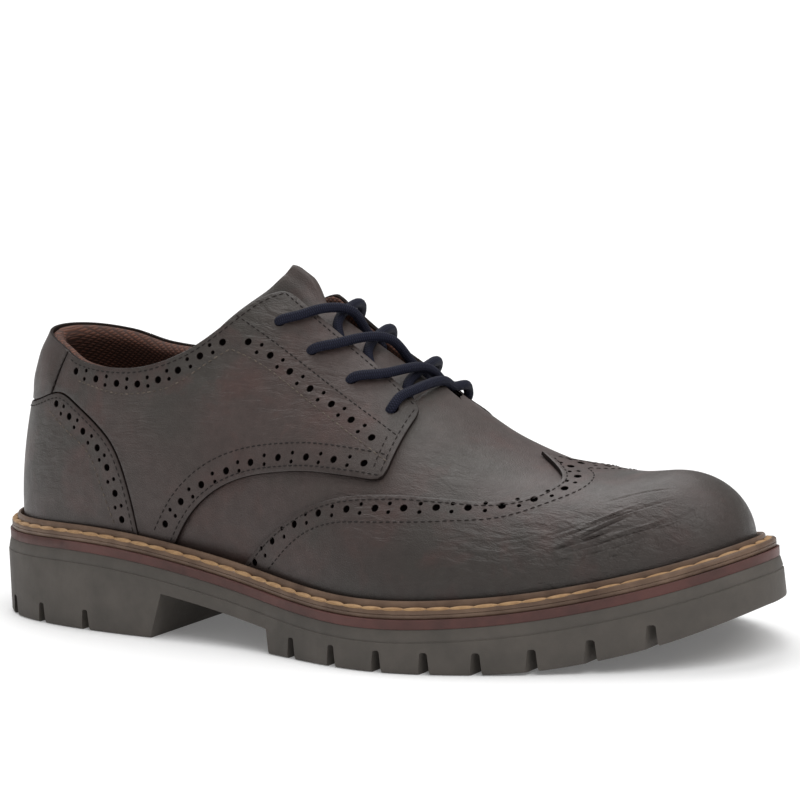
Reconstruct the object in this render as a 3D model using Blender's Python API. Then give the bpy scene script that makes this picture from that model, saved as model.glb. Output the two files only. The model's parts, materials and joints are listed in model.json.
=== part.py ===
"""A brogue derby shoe for the right foot, with a wing cap and a lugged sole, standing empty.

Everything is worked out from the last: a closed outline for the sole, and a profile that
rises from the welt to the ridge of the foot. X runs from heel to toe, Y to the wearer's left
(the inner side of the foot), Z up from the floor.
"""

import math

import bmesh
import bpy
import numpy as np

MM = 0.001
LATERAL = -1
MEDIAL = 1

# Driving sizes of the sole
SOLE_LENGTH = 306 * MM
BALL_WIDTH = 115 * MM
FORE_THICKNESS = 14.2 * MM
HEEL_RISE = 13.4 * MM
TOE_SPRING = 16.5 * MM
SOLE_FLARE = 1.2 * MM
LEDGE_DROP = 4.0 * MM
LEDGE_STEP = 0.7 * MM
HEEL_BREAST = 86.4 * MM
BREAST_LEAN = 8 * MM
FORE_BLOCK = 145 * MM
FORE_LEAN = 1.5 * MM
ARCH_THICKNESS = 8.5 * MM
HEEL_LUGS = (14 * MM, 33 * MM, 57 * MM)
FORE_LUGS = (156.2 * MM, 175.8 * MM, 194.9 * MM, 212 * MM, 228.9 * MM, 246 * MM, 263.3 * MM, 280.6 * MM)
LUG_HEIGHT = 8 * MM
LUG_SLOT = 4.2 * MM
LUG_REACH = 15 * MM

# Layers between the outsole and the upper
GAP = 0.3 * MM
MIDSOLE_THICKNESS = 2.6 * MM
MIDSOLE_INSET = 0.5 * MM
WELT_THICKNESS = 3.2 * MM
WELT_INSET = 1.4 * MM
WELT_WIDTH = 10.4 * MM
WELT_FLANGE = 7.0 * MM
GROOVE_WIDTH = 2.6 * MM
GROOVE_DEPTH = 1.2 * MM
LIP_HEIGHT = 2.2 * MM
LIP_THICKNESS = 1.6 * MM
LIP_LEAN = 1.7 * MM
INSOLE_THICKNESS = 3.5 * MM

# The upper and what lies on it
UPPER_WALL = 1.8 * MM
OVERLAY_FIT = 0.55 * MM
COLLAR_PADDING = 3.2 * MM
PADDING_DEPTH = 22 * MM
OVERLAY_THICKNESS = 1.2 * MM
COUNTER_THICKNESS = 1.3 * MM
TAB_THICKNESS = 1.6 * MM
BACK_HEIGHT = 101.5 * MM
ANKLE_HEIGHT = 90.3 * MM
FACING_TOP = 115 * MM
RIDGE_HEIGHT = 142 * MM
FACING_GAP = 7.5 * MM
FACING_SPREAD = 10.2 * MM
FACING_STAND = 5.5 * MM
STAND_REACH = 24 * MM
TONGUE_THICKNESS = 2.0 * MM
TONGUE_SINK = 1.1 * MM
TONGUE_STAND = 2.4 * MM
LACE_RADIUS = 1.7 * MM
LACE_LIFT = 0.5 * MM

# Samples of the solids
STATIONS = 30
FINE_STEPS = 160

# Outline of the sole: along is a share of its length, and the two sides are shares of half
# the ball's width, each multiplied by the half sine that rounds heel and toe.
OUTLINE = (
    # along, lateral, medial
    (0.00, 1.16, 1.16),
    (0.10, 0.97, 1.00),
    (0.20, 0.87, 0.81),
    (0.31, 0.815, 0.66),
    (0.42, 0.825, 0.60),
    (0.54, 0.995, 0.69),
    (0.64, 1.12, 0.87),
    (0.75, 1.11, 1.08),
    (0.84, 1.06, 1.20),
    (0.92, 1.05, 1.23),
    (1.00, 1.14, 1.14),
)

# Height of the outsole's top edge and of its tread: shares of HEEL_RISE and TOE_SPRING.
SEAT = (
    # along, heel share, top spring share, tread spring share
    (0.000, 0.97, 0.00, 0.00),
    (0.100, 1.00, 0.00, 0.00),
    (0.200, 0.99, 0.00, 0.00),
    (0.300, 0.79, 0.00, 0.00),
    (0.400, 0.44, 0.00, 0.00),
    (0.500, 0.13, 0.00, 0.00),
    (0.580, 0.00, 0.00, 0.00),
    (0.700, 0.00, 0.02, 0.00),
    (0.780, 0.00, 0.13, 0.03),
    (0.866, 0.00, 0.37, 0.25),
    (0.940, 0.00, 0.68, 0.61),
    (1.000, 0.00, 1.00, 1.03),
)

# Ridge of the last: along is a share of the sole's length, height a share of RIDGE_HEIGHT,
# and lean a share of the ball's width towards the inner side of the foot.
RIDGE = (
    # along, height, lean
    (0.190, 1.000, 0.000),
    (0.250, 1.012, 0.004),
    (0.300, 0.995, 0.010),
    (0.345, 0.949, 0.015),
    (0.385, 0.891, 0.018),
    (0.425, 0.830, 0.020),
    (0.467, 0.770, 0.020),
    (0.506, 0.717, 0.020),
    (0.540, 0.671, 0.020),
    (0.572, 0.625, 0.019),
    (0.602, 0.578, 0.018),
    (0.634, 0.529, 0.016),
    (0.664, 0.483, 0.013),
    (0.696, 0.446, 0.010),
    (0.729, 0.416, 0.006),
    (0.760, 0.395, 0.003),
    (0.794, 0.379, 0.001),
    (0.827, 0.373, 0.000),
    (0.856, 0.377, 0.000),
    (0.890, 0.387, 0.000),
)

# Profile from the welt up to the ridge, at stations along the welt line. Margin is a share
# of WELT_WIDTH, shift moves the ridge point along the foot, and the handles are those of the
# one cubic curve of each profile.
PROFILE = (
    # along, margin, shift, low out, low up, high out, high down
    (0.00, 1.00, 0.165, 0.002, 0.33, 0.59, 0.11),
    (0.10, 1.00, 0.125, 0.006, 0.34, 0.61, 0.10),
    (0.20, 1.00, 0.082, 0.012, 0.36, 0.64, 0.10),
    (0.30, 1.00, 0.042, 0.010, 0.36, 0.58, 0.12),
    (0.40, 1.00, 0.012, 0.006, 0.37, 0.52, 0.12),
    (0.50, 1.00, 0.000, 0.004, 0.40, 0.48, 0.08),
    (0.60, 1.00, 0.000, 0.006, 0.44, 0.47, 0.03),
    (0.70, 1.00, 0.000, 0.010, 0.50, 0.50, 0.00),
    (0.80, 1.00, -0.008, 0.012, 0.55, 0.54, 0.00),
    (0.90, 1.05, -0.037, 0.012, 0.58, 0.60, 0.00),
    (1.00, 1.12, -0.080, 0.010, 0.56, 0.66, 0.00),
)

# Topline of the collar: shares of the rise from the ankle to the back and to the facing's top.
TOPLINE = (
    # along, back, facing
    (0.000, 1.00, 0.00),
    (0.060, 0.98, 0.00),
    (0.100, 0.76, 0.00),
    (0.138, 0.45, 0.00),
    (0.175, 0.18, 0.00),
    (0.223, 0.02, 0.01),
    (0.257, 0.00, 0.03),
    (0.280, 0.00, 0.08),
    (0.308, 0.00, 0.19),
    (0.333, 0.00, 0.34),
    (0.372, 0.00, 0.70),
    (0.390, 0.00, 0.87),
    (0.410, 0.00, 0.97),
    (0.430, 0.00, 1.00),
)

# Edges of the overlays on the last: along the welt line, and rise from welt to ridge.
WING_EDGE = (
    (0.410, 0.000),
    (0.441, 0.093),
    (0.476, 0.174),
    (0.517, 0.255),
    (0.570, 0.336),
    (0.624, 0.402),
    (0.693, 0.480),
    (0.759, 0.552),
    (0.786, 0.625),
    (0.800, 0.710),
    (0.803, 0.803),
    (0.778, 0.919),
    (0.743, 1.000),
)
QUARTER_EDGE = (
    (0.300, 0.000),
    (0.325, 0.104),
    (0.361, 0.197),
    (0.412, 0.274),
    (0.467, 0.328),
    (0.508, 0.363),
    (0.564, 0.402),
    (0.625, 0.450),
)
COUNTER_EDGE = (
    (0.000, 0.335),
    (0.050, 0.345),
    (0.092, 0.363),
    (0.128, 0.336),
    (0.174, 0.286),
    (0.207, 0.230),
    (0.226, 0.160),
    (0.238, 0.085),
    (0.246, 0.000),
)
# Top edge of the tongue from its side edge to the ridge, and its front edge under the vamp.
TONGUE_TOP = (
    (0.300, 0.560),
    (0.318, 0.640),
    (0.342, 0.740),
    (0.362, 0.840),
    (0.377, 0.930),
    (0.388, 1.000),
)
TONGUE_FRONT = 0.600
TONGUE_FRONT_RISE = 0.70
THROAT_END = 0.628
QUARTER_FRONT = 0.617
FACING_START = 0.395
QUARTER_BACK = 0.094
TAB_END = 0.090

# How far the inner facing stands off the last at its edge, as a share of FACING_STAND.
STAND = (
    # along, share
    (0.310, 0.00),
    (0.400, 0.90),
    (0.430, 0.90),
    (0.470, 0.60),
    (0.510, 0.36),
    (0.560, 0.24),
    (0.590, 0.12),
    (0.612, 0.00),
)
# Eyelets from the top down: their place along the foot on the two facings, and how far the
# row lies from the ridge. A lace leaves its eyelet, passes the facing's edge, the ridge and
# the other facing's edge, under which it goes.
EYELETS = (
    # outer along, inner along, from the ridge
    (0.412, 0.452, 18.4 * MM),
    (0.470, 0.500, 20.8 * MM),
    (0.532, 0.560, 22.8 * MM),
    (0.590, 0.604, 24.5 * MM),
)
OUTER_LACE = (0.040, 0.050, 0.062)
INNER_LACE = (0.010, 0.018, 0.024)

# name: base colour, roughness
FINISHES = {
    "upper_leather": ((0.065, 0.047, 0.041), 0.55),
    "overlay_leather": ((0.058, 0.042, 0.037), 0.55),
    "sole_rubber": ((0.085, 0.075, 0.068), 0.75),
    "midsole_burgundy": ((0.10, 0.03, 0.028), 0.6),
    "welt_brown": ((0.13, 0.085, 0.06), 0.5),
    "insole_fabric": ((0.09, 0.04, 0.025), 0.9),
    "lace_navy": ((0.013, 0.014, 0.035), 0.85),
}


class Spline:
    """A natural cubic spline through the first column and one other column of a table."""

    def __init__(self, rows, column):
        self.x = np.array([row[0] for row in rows], float)
        self.y = np.array([row[column] for row in rows], float)
        step = np.diff(self.x)
        slope = np.diff(self.y) / step
        count = len(self.x)
        matrix = np.eye(count)
        right = np.zeros(count)
        for i in range(1, count - 1):
            matrix[i, i - 1 : i + 2] = step[i - 1], 2 * (step[i - 1] + step[i]), step[i]
            right[i] = 6 * (slope[i] - slope[i - 1])
        self.bend = np.linalg.solve(matrix, right)

    def __call__(self, x):
        x = np.clip(np.asarray(x, float), self.x[0], self.x[-1])
        i = np.clip(np.searchsorted(self.x, x) - 1, 0, len(self.x) - 2)
        step = self.x[i + 1] - self.x[i]
        a = (self.x[i + 1] - x) / step
        b = 1 - a
        bend = (a**3 - a) * self.bend[i] + (b**3 - b) * self.bend[i + 1]
        return a * self.y[i] + b * self.y[i + 1] + bend * step**2 / 6


SIDE_WIDTH = {LATERAL: Spline(OUTLINE, 1), MEDIAL: Spline(OUTLINE, 2)}
HEEL_SHARE = Spline(SEAT, 1)
TOP_SPRING = Spline(SEAT, 2)
TREAD_SPRING = Spline(SEAT, 3)
RIDGE_SHARE = Spline(RIDGE, 1)
RIDGE_LEAN = Spline(RIDGE, 2)
PROFILE_COLUMNS = [Spline(PROFILE, column) for column in range(2, 7)]
MARGIN_SHARE = Spline(PROFILE, 1)
BACK_SHARE = Spline(TOPLINE, 1)
FRONT_SHARE = Spline(TOPLINE, 2)
STAND_SHARE = Spline(STAND, 1)


def side_y(angle, inset):
    """Distance of the outline from the centre line at an angle from heel (0) to toe (pi)."""
    along = (1 - np.cos(angle)) / 2
    side = np.where(np.sin(angle) >= 0, LATERAL, MEDIAL)
    width = np.where(side == LATERAL, SIDE_WIDTH[LATERAL](along), SIDE_WIDTH[MEDIAL](along))
    return side * np.abs(np.sin(angle)) * (width * BALL_WIDTH / 2 - inset)


def raw_outline(angle, inset):
    """The sole's outline, inset, with the heel at X = 0: angle 0 heel, pi toe, up to 2 pi."""
    angle = np.asarray(angle, float)
    x = inset + (SOLE_LENGTH - 2 * inset) * (1 - np.cos(angle)) / 2
    return x, side_y(angle, inset)


TURN = np.linspace(0, 2 * math.pi, 721)
WIDEST = raw_outline(TURN, -SOLE_FLARE)[1]
CENTRE_X = SOLE_LENGTH / 2
CENTRE_Y = (WIDEST.min() + WIDEST.max()) / 2


def outline(angle, inset):
    """The same outline in the part's own frame, about the middle of the sole."""
    x, y = raw_outline(angle, inset)
    return x - CENTRE_X, y - CENTRE_Y


def along_of(x):
    """Share of the sole's length at a place in the part's frame."""
    return np.clip((np.asarray(x) + CENTRE_X) / SOLE_LENGTH, 0, 1)


def place_of(along):
    """X of a share of the sole's length."""
    return along * SOLE_LENGTH - CENTRE_X


def angle_of(along):
    """Angle of the lateral outline at a share of its length."""
    return np.arccos(1 - 2 * np.clip(along, 0, 1))


def sole_top(x):
    """Height of the outsole's top edge."""
    along = along_of(x)
    return FORE_THICKNESS + HEEL_RISE * HEEL_SHARE(along) + TOE_SPRING * TOP_SPRING(along)


def tread(x):
    """Height of the tread, which rises only at the toe."""
    along = along_of(x)
    return np.where(along < SEAT[7][0], 0, TOE_SPRING * np.maximum(TREAD_SPRING(along), 0))


MIDSOLE_BASE = GAP
MIDSOLE_TOP = MIDSOLE_BASE + MIDSOLE_THICKNESS
WELT_BASE = MIDSOLE_TOP + GAP
WELT_TOP = WELT_BASE + WELT_THICKNESS
FEATHER = WELT_TOP + GAP


def ridge_height(x):
    return RIDGE_HEIGHT * RIDGE_SHARE(along_of(x))


def welt_margin(angle):
    """Distance from the sole's edge to the last at the welt."""
    return WELT_WIDTH * MARGIN_SHARE((1 - np.cos(angle)) / 2)


def last_point(angle, rise):
    """A point on the last: angle round the welt line, rise from the welt (0) to the ridge (1)."""
    angle, rise = np.broadcast_arrays(np.asarray(angle, float), np.asarray(rise, float))
    along = (1 - np.cos(angle)) / 2
    shift, low_out, low_up, high_out, high_down = (c(along) for c in PROFILE_COLUMNS)
    foot_x, foot_y = outline(angle, welt_margin(angle))
    foot_z = sole_top(foot_x) + FEATHER
    crest_x = foot_x + shift * SOLE_LENGTH
    crest_y = BALL_WIDTH * RIDGE_LEAN(along_of(crest_x)) - CENTRE_Y
    crest_z = ridge_height(crest_x)
    step = 1e-3
    margin = welt_margin(angle)
    ahead, behind = outline(angle + step, margin), outline(angle - step, margin)
    along_x, along_y = ahead[0] - behind[0], ahead[1] - behind[1]
    size = np.hypot(along_x, along_y)
    out_x, out_y = along_y / size, -along_x / size
    height = crest_z - foot_z
    reach_x, reach_y = foot_x - crest_x, foot_y - crest_y
    slope = (ridge_height(crest_x + MM) - ridge_height(crest_x - MM)) / (2 * MM)
    crown = np.clip((along - 0.45) / 0.1, 0, 1)
    handles = (
        (foot_x, foot_y, foot_z),
        (
            foot_x + out_x * low_out * BALL_WIDTH,
            foot_y + out_y * low_out * BALL_WIDTH,
            foot_z + low_up * height,
        ),
        (
            crest_x + high_out * reach_x,
            crest_y + high_out * reach_y,
            crest_z - high_down * height + crown * slope * high_out * reach_x,
        ),
        (crest_x, crest_y, crest_z),
    )
    weights = ((1 - rise) ** 3, 3 * rise * (1 - rise) ** 2, 3 * rise**2 * (1 - rise), rise**3)
    return np.stack([sum(w * h[i] for w, h in zip(weights, handles)) for i in range(3)], -1)


def last_normal(angle, rise):
    """Outward normal of the last."""
    step = 2e-3
    flat = np.clip(rise, step, 1 - 6 * step)
    across = last_point(np.asarray(angle) + step, flat) - last_point(np.asarray(angle) - step, flat)
    up = last_point(angle, flat + step) - last_point(angle, flat - step)
    normal = np.cross(across, up)
    return normal / np.linalg.norm(normal, axis=-1, keepdims=True)


def shell_point(angle, rise, depth):
    """A point at a distance outside the last's surface.

    At the ridge it stays on the centre plane, and at the welt it stays level.
    """
    normal = last_normal(angle, rise)
    ridge = np.clip((np.asarray(rise) - 0.9) / 0.1, 0, 1)[..., None]
    foot = np.clip(1 - np.asarray(rise) / 0.06, 0, 1)[..., None]
    normal = normal * (1 - ridge * np.array([0.0, 1.0, 0.0]))
    normal = normal * (1 - foot * np.array([0.0, 0.0, 1.0]))
    normal = normal / np.linalg.norm(normal, axis=-1, keepdims=True)
    base = last_point(angle, rise)
    point = base + normal * np.asarray(depth)[..., None]
    point[..., 2] += foot[..., 0] * (sole_top(point[..., 0]) - sole_top(base[..., 0]))
    return point


def rise_where(angle, height_at):
    """Rise at which the profile first reaches the height that height_at gives for its X."""
    steps = np.linspace(0, 1, FINE_STEPS)
    points = last_point(angle, steps)
    above = points[:, 2] - height_at(points[:, 0])
    over = np.nonzero(above >= 0)[0]
    if not len(over):
        return 1.0
    i = over[0]
    if i == 0:
        return 0.0
    return float(steps[i - 1] + (steps[i] - steps[i - 1]) * above[i - 1] / (above[i - 1] - above[i]))


def rise_at_edge(angle, half_width):
    """Rise at which the profile comes within a half width of the ridge, along the surface."""
    steps = np.linspace(0, 1, FINE_STEPS)
    points = last_point(angle, steps)
    lengths = np.linalg.norm(np.diff(points, axis=0), axis=1)
    left = np.concatenate([np.cumsum(lengths[::-1])[::-1], [0]])
    return float(np.interp(half_width, left[::-1], steps[::-1]))


def topline_height(x):
    along = along_of(x)
    back = (BACK_HEIGHT - ANKLE_HEIGHT) * BACK_SHARE(along)
    front = (FACING_TOP - ANKLE_HEIGHT) * FRONT_SHARE(along)
    return ANKLE_HEIGHT + back + front


def facing_gap(along):
    """Distance of a facing's edge from the ridge, which grows towards the toe."""
    forward = max(0.0, (along - FACING_START) / (THROAT_END - FACING_START))
    return FACING_GAP + FACING_SPREAD * forward**1.4


def upper_top(angle):
    """Rise of the upper's free edge: collar, facing, then the closed vamp."""
    along = float((1 - math.cos(angle)) / 2)
    if along >= THROAT_END:
        return 1.0
    collar = rise_where(angle, topline_height)
    if along < FACING_START - 0.09:
        return collar
    return min(collar, rise_at_edge(angle, facing_gap(along)))


def smooth(x):
    x = np.clip(x, 0, 1)
    return x * x * (3 - 2 * x)


def facing_stand(angles, rises):
    """How far the inner facing stands off the last: most at its edge, and none at the collar
    and at the throat's end."""
    share = np.maximum(STAND_SHARE((1 - np.cos(angles)) / 2), 0)
    tops = np.array([upper_top(a) for a in angles])
    height = np.linalg.norm(last_point(angles, tops) - last_point(angles, tops - 0.05), axis=-1) / 0.05
    below = np.maximum(tops - rises, 0) * height
    return FACING_STAND * (np.sin(angles) < 0) * share * (1 - smooth(below / STAND_REACH))


def material(name):
    made = bpy.data.materials.get(name)
    if made is None:
        colour, roughness = FINISHES[name]
        made = bpy.data.materials.new(name)
        made.use_nodes = True
        shader = made.node_tree.nodes["Principled BSDF"]
        shader.inputs["Base Color"].default_value = (*colour, 1)
        shader.inputs["Roughness"].default_value = roughness
    return made


def clear_scene():
    for obj in list(bpy.data.objects):
        bpy.data.objects.remove(obj)


def collection(name, hidden=False):
    made = bpy.data.collections.new(name)
    bpy.context.scene.collection.children.link(made)
    made.hide_render = hidden
    return made


def add_object(name, mesh, finish, group):
    obj = bpy.data.objects.new(name, mesh)
    group.objects.link(obj)
    mesh.materials.append(material(finish))
    mesh.shade_smooth()
    mesh.set_sharp_from_angle(angle=math.radians(35))
    return obj


def mesh_from(name, points, faces):
    """A closed mesh with its double points merged and its faces turned outwards."""
    mesh = bpy.data.meshes.new(name)
    mesh.from_pydata([tuple(p) for p in points], [], faces)
    work = bmesh.new()
    work.from_mesh(mesh)
    bmesh.ops.remove_doubles(work, verts=work.verts, dist=1e-5)
    bmesh.ops.recalc_face_normals(work, faces=work.faces)
    if work.calc_volume(signed=True) < 0:
        bmesh.ops.reverse_faces(work, faces=work.faces)
    work.to_mesh(mesh)
    work.free()
    mesh.update()
    return mesh


def ring_solid(name, rings, finish, group, close_top=True, close_bottom=True):
    """A solid through closed rings of as many points, one above another, with flat-cut ends."""
    count = len(rings[0])
    points = np.concatenate(rings)
    faces = []
    for level in range(len(rings) - 1):
        low, high = level * count, (level + 1) * count
        for i in range(count):
            j = (i + 1) % count
            faces.append((low + i, low + j, high + j, high + i))
    if close_bottom:
        faces += strip_cap(0, count)
    if close_top:
        faces += strip_cap((len(rings) - 1) * count, count)
    return add_object(name, mesh_from(name, points, faces), finish, group)


def strip_cap(first, count):
    """Faces across a ring from side to side, which follow a ring that bends along the foot."""
    faces = []
    for i in range(count // 2):
        a, b = first + i, first + i + 1
        c, d = first + (count - i - 1) % count, first + (count - i) % count
        corners = []
        for corner in (a, b, c, d):
            if corner not in corners:
                corners.append(corner)
        if len(corners) > 2:
            faces.append(tuple(corners))
    return faces


def ring_angles():
    return np.arange(2 * STATIONS) * math.pi / STATIONS


def sole_ring(inset, height_at, angles):
    x, y = outline(angles, inset)
    return np.stack([x, y, height_at(x)], -1)


def build_outsole(group, cutters):
    angles = ring_angles()
    rings = [
        sole_ring(-SOLE_FLARE, tread, angles),
        sole_ring(-SOLE_FLARE / 2, lambda x: sole_top(x) - LEDGE_DROP, angles),
        sole_ring(LEDGE_STEP - SOLE_FLARE / 2, lambda x: sole_top(x) - LEDGE_DROP + LEDGE_STEP, angles),
        sole_ring(LEDGE_STEP, lambda x: sole_top(x), angles),
    ]
    sole = ring_solid("outsole", rings, "sole_rubber", group)
    cut(sole, arch_cutter(cutters))
    for number, along in enumerate(HEEL_LUGS):
        for side in (LATERAL, MEDIAL):
            cut(sole, lug_cutter(f"heel_slot_{number}_{side + 1}", along, side, cutters))
    for number, along in enumerate(FORE_LUGS):
        for side in (LATERAL, MEDIAL):
            cut(sole, lug_cutter(f"fore_slot_{number}_{side + 1}", along, side, cutters))
    return sole


def arch_cutter(group):
    """The hollow under the waist, from the heel's breast to the forepart's first lug."""
    breast, block = HEEL_BREAST - CENTRE_X, FORE_BLOCK - CENTRE_X
    roof = [
        (x, float(sole_top(x)) - ARCH_THICKNESS)
        for x in np.linspace(breast + BREAST_LEAN, block - FORE_LEAN, 6)
    ]
    profile = [(block, -5 * MM), (breast, -5 * MM)] + roof
    return prism("arch_hollow", profile, -BALL_WIDTH, BALL_WIDTH, group)


def prism(name, profile, low_y, high_y, group):
    """A cutter: a closed outline in X and Z, drawn out along Y."""
    count = len(profile)
    points = [(x, low_y, z) for x, z in profile] + [(x, high_y, z) for x, z in profile]
    faces = [tuple(range(count)), tuple(range(count, 2 * count))]
    faces += [(i, (i + 1) % count, count + (i + 1) % count, count + i) for i in range(count)]
    return add_cutter(name, points, faces, group)


def add_cutter(name, points, faces, group):
    obj = bpy.data.objects.new(name, mesh_from(name, points, faces))
    group.objects.link(obj)
    obj.hide_render = True
    obj.display_type = "WIRE"
    return obj


def lug_cutter(name, along, side, group):
    """A slot in the tread's edge, wider at the floor and running in square to the foot."""
    x = along - CENTRE_X
    angle = float(angle_of(along / SOLE_LENGTH))
    edge = float(outline(angle if side == LATERAL else 2 * math.pi - angle, 0)[1])
    floor = float(tread(x))
    inner, outer = edge - side * LUG_REACH, edge + side * 10 * MM
    top, low = floor + LUG_HEIGHT, floor - 6 * MM
    half_top, half_low = LUG_SLOT * 0.3, LUG_SLOT * 0.62
    corners = [
        (x - half_low, low),
        (x + half_low, low),
        (x + half_top, top),
        (x - half_top, top),
    ]
    points = [(a, outer, z) for a, z in corners]
    points += [(a, inner, z if z < floor else z - LUG_HEIGHT * 0.25) for a, z in corners]
    faces = [(0, 1, 2, 3), (4, 5, 6, 7)]
    faces += [(i, (i + 1) % 4, 4 + (i + 1) % 4, 4 + i) for i in range(4)]
    return add_cutter(name, points, faces, group)


def cut(obj, cutter, operation="DIFFERENCE"):
    modifier = obj.modifiers.new(cutter.name, "BOOLEAN")
    modifier.operation = operation
    modifier.solver = "EXACT"
    modifier.object = cutter


def build_midsole(group):
    angles = ring_angles()
    rings = [
        sole_ring(MIDSOLE_INSET, lambda x: sole_top(x) + MIDSOLE_BASE, angles),
        sole_ring(MIDSOLE_INSET, lambda x: sole_top(x) + MIDSOLE_TOP, angles),
    ]
    return ring_solid("midsole", rings, "midsole_burgundy", group)


def build_welt(group):
    """A ring whose section has an outer strip, a stitching groove and a raised lip."""
    angles = ring_angles()
    margin = welt_margin(angles)
    lip_foot = margin - COUNTER_THICKNESS - UPPER_WALL - GAP * 2 - LIP_LEAN
    lip_edge = lip_foot - LIP_THICKNESS
    groove_edge = lip_edge - GROOVE_WIDTH / 2
    section = (
        # inset, height over the outsole
        (WELT_INSET, WELT_BASE),
        (WELT_INSET, WELT_TOP),
        (groove_edge, WELT_TOP),
        (lip_edge, WELT_TOP - GROOVE_DEPTH),
        (lip_edge + LIP_THICKNESS * 0.2, WELT_TOP + LIP_HEIGHT),
        (lip_foot, WELT_TOP + LIP_HEIGHT),
        (lip_foot, WELT_TOP),
        (margin + WELT_FLANGE, WELT_TOP),
        (margin + WELT_FLANGE, WELT_BASE),
    )
    rings = [
        sole_ring(inset, lambda x, h=height: sole_top(x) + h, angles)
        for inset, height in section
    ]
    count, levels = len(angles), len(rings)
    faces = [
        (
            k * count + i,
            k * count + (i + 1) % count,
            (k + 1) % levels * count + (i + 1) % count,
            (k + 1) % levels * count + i,
        )
        for k in range(levels)
        for i in range(count)
    ]
    mesh = mesh_from("welt", np.concatenate(rings), faces)
    return add_object("welt", mesh, "welt_brown", group)


def build_insole(group):
    """A board between the welt's flange that widens into the footbed above it."""
    angles = ring_angles()
    board = welt_margin(angles) + WELT_FLANGE + GAP
    bed = welt_margin(angles) + 2 * GAP
    levels = (
        (board, MIDSOLE_TOP + GAP),
        (board, FEATHER),
        (bed, FEATHER),
        (bed - 0.2 * MM, FEATHER + INSOLE_THICKNESS),
    )
    rings = [
        sole_ring(inset, lambda x, h=height: sole_top(x) + h, angles) for inset, height in levels
    ]
    return ring_solid("insole", rings, "insole_fabric", group)


def padding(angle, points):
    """Extra thickness inside the collar, fading out below the topline and towards the throat."""
    along = (1 - np.cos(angle)) / 2
    below = topline_height(points[..., 0]) - points[..., 2]
    fade = np.clip(1 - below / PADDING_DEPTH, 0, 1)
    return COLLAR_PADDING * np.sin(fade * math.pi / 2) ** 2 * np.clip((0.28 - along) / 0.08, 0, 1)


def patch(name, columns, inner, outer, finish, group, closed=False, padded=False, lift=None):
    """A piece of the upper between two distances from the last, through columns of
    (angle, rise) pairs. Columns that end on the ridge share their points there."""
    count, rows = len(columns), len(columns[0])
    points = []
    for column in columns:
        angles, rises = np.array(column).T
        for depth in (inner, outer):
            depths = np.full(rows, depth)
            if padded and depth == inner:
                depths = depths - padding(angles, last_point(angles, rises))
            if lift:
                depths = depths + lift(angles, rises)
            points.append(shell_point(angles, rises, depths))
    points = np.concatenate(points)
    faces = []

    def at(i, skin, j):
        return (i % count) * 2 * rows + skin * rows + j

    for i in range(count if closed else count - 1):
        for skin in (0, 1):
            for j in range(rows - 1):
                corners = (at(i, skin, j), at(i + 1, skin, j), at(i + 1, skin, j + 1), at(i, skin, j + 1))
                faces.append(corners)
        ridge = min(columns[i][-1][1], columns[(i + 1) % count][-1][1]) >= 1
        for j in (0,) if ridge else (0, rows - 1):
            faces.append((at(i, 0, j), at(i + 1, 0, j), at(i + 1, 1, j), at(i, 1, j)))
    if not closed:
        for i in (0, count - 1):
            for j in range(rows - 1):
                faces.append((at(i, 0, j), at(i, 0, j + 1), at(i, 1, j + 1), at(i, 1, j)))
    return add_object(name, mesh_from(name, points, faces), finish, group)


def ladder(low, high, rows):
    """A column of (angle, rise) pairs from one pair to another."""
    return [
        (low[0] + (high[0] - low[0]) * t, low[1] + (high[1] - low[1]) * t)
        for t in np.linspace(0, 1, rows)
    ]


def upright(angles, low, high, rows):
    """Columns that each keep their angle, between two functions of it."""
    return [ladder((a, low(a)), (a, high(a)), rows) for a in angles]


def mirrored(columns):
    """The same columns on the inner side of the foot."""
    return [[(2 * math.pi - a, r) for a, r in column] for column in columns]


def edge_rise(table, angle):
    """Rise of an overlay's edge at an angle on either side of the foot."""
    return float(Spline(table, 1)((1 - math.cos(angle)) / 2))


def build_upper(group):
    columns = upright(ring_angles(), lambda a: 0.0, upper_top, 13)
    return patch(
        "upper", columns, 0.0, UPPER_WALL, "upper_leather", group, closed=True, padded=True,
        lift=facing_stand,
    )


def overlay(name, columns, thickness, group):
    inner = UPPER_WALL + OVERLAY_FIT
    return patch(
        name, columns, inner, inner + thickness, "overlay_leather", group, lift=facing_stand
    )


def build_wing_cap(group):
    """Its edge climbs to the toe, turns and comes back to a point on the ridge."""
    table = np.array(WING_EDGE)
    steps = np.linspace(0, 1, len(table))
    at = np.linspace(0, 1, 22)
    along = Spline(list(zip(steps, table[:, 0])), 1)(at)
    rise = np.minimum(Spline(list(zip(steps, table[:, 1])), 1)(at), 1.0)
    rise[0] = 0.04
    rise[-1] = 1.0
    foot = np.linspace(float(angle_of(table[0, 0])), math.pi * 0.86, len(at))
    half = [
        ladder((f, 0.0), (float(angle_of(a)), float(r)), 9)
        for f, a, r in zip(foot, along, rise)
    ]
    toe_top = np.linspace(float(angle_of(along[-1])), math.pi, 7)[1:]
    toe_foot = np.linspace(foot[-1], math.pi, 7)[1:]
    half += [ladder((f, 0.0), (t, 1.0), 9) for f, t in zip(toe_foot, toe_top)]
    return overlay("wing_cap", half + mirrored(half)[-2::-1], OVERLAY_THICKNESS, group)


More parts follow.
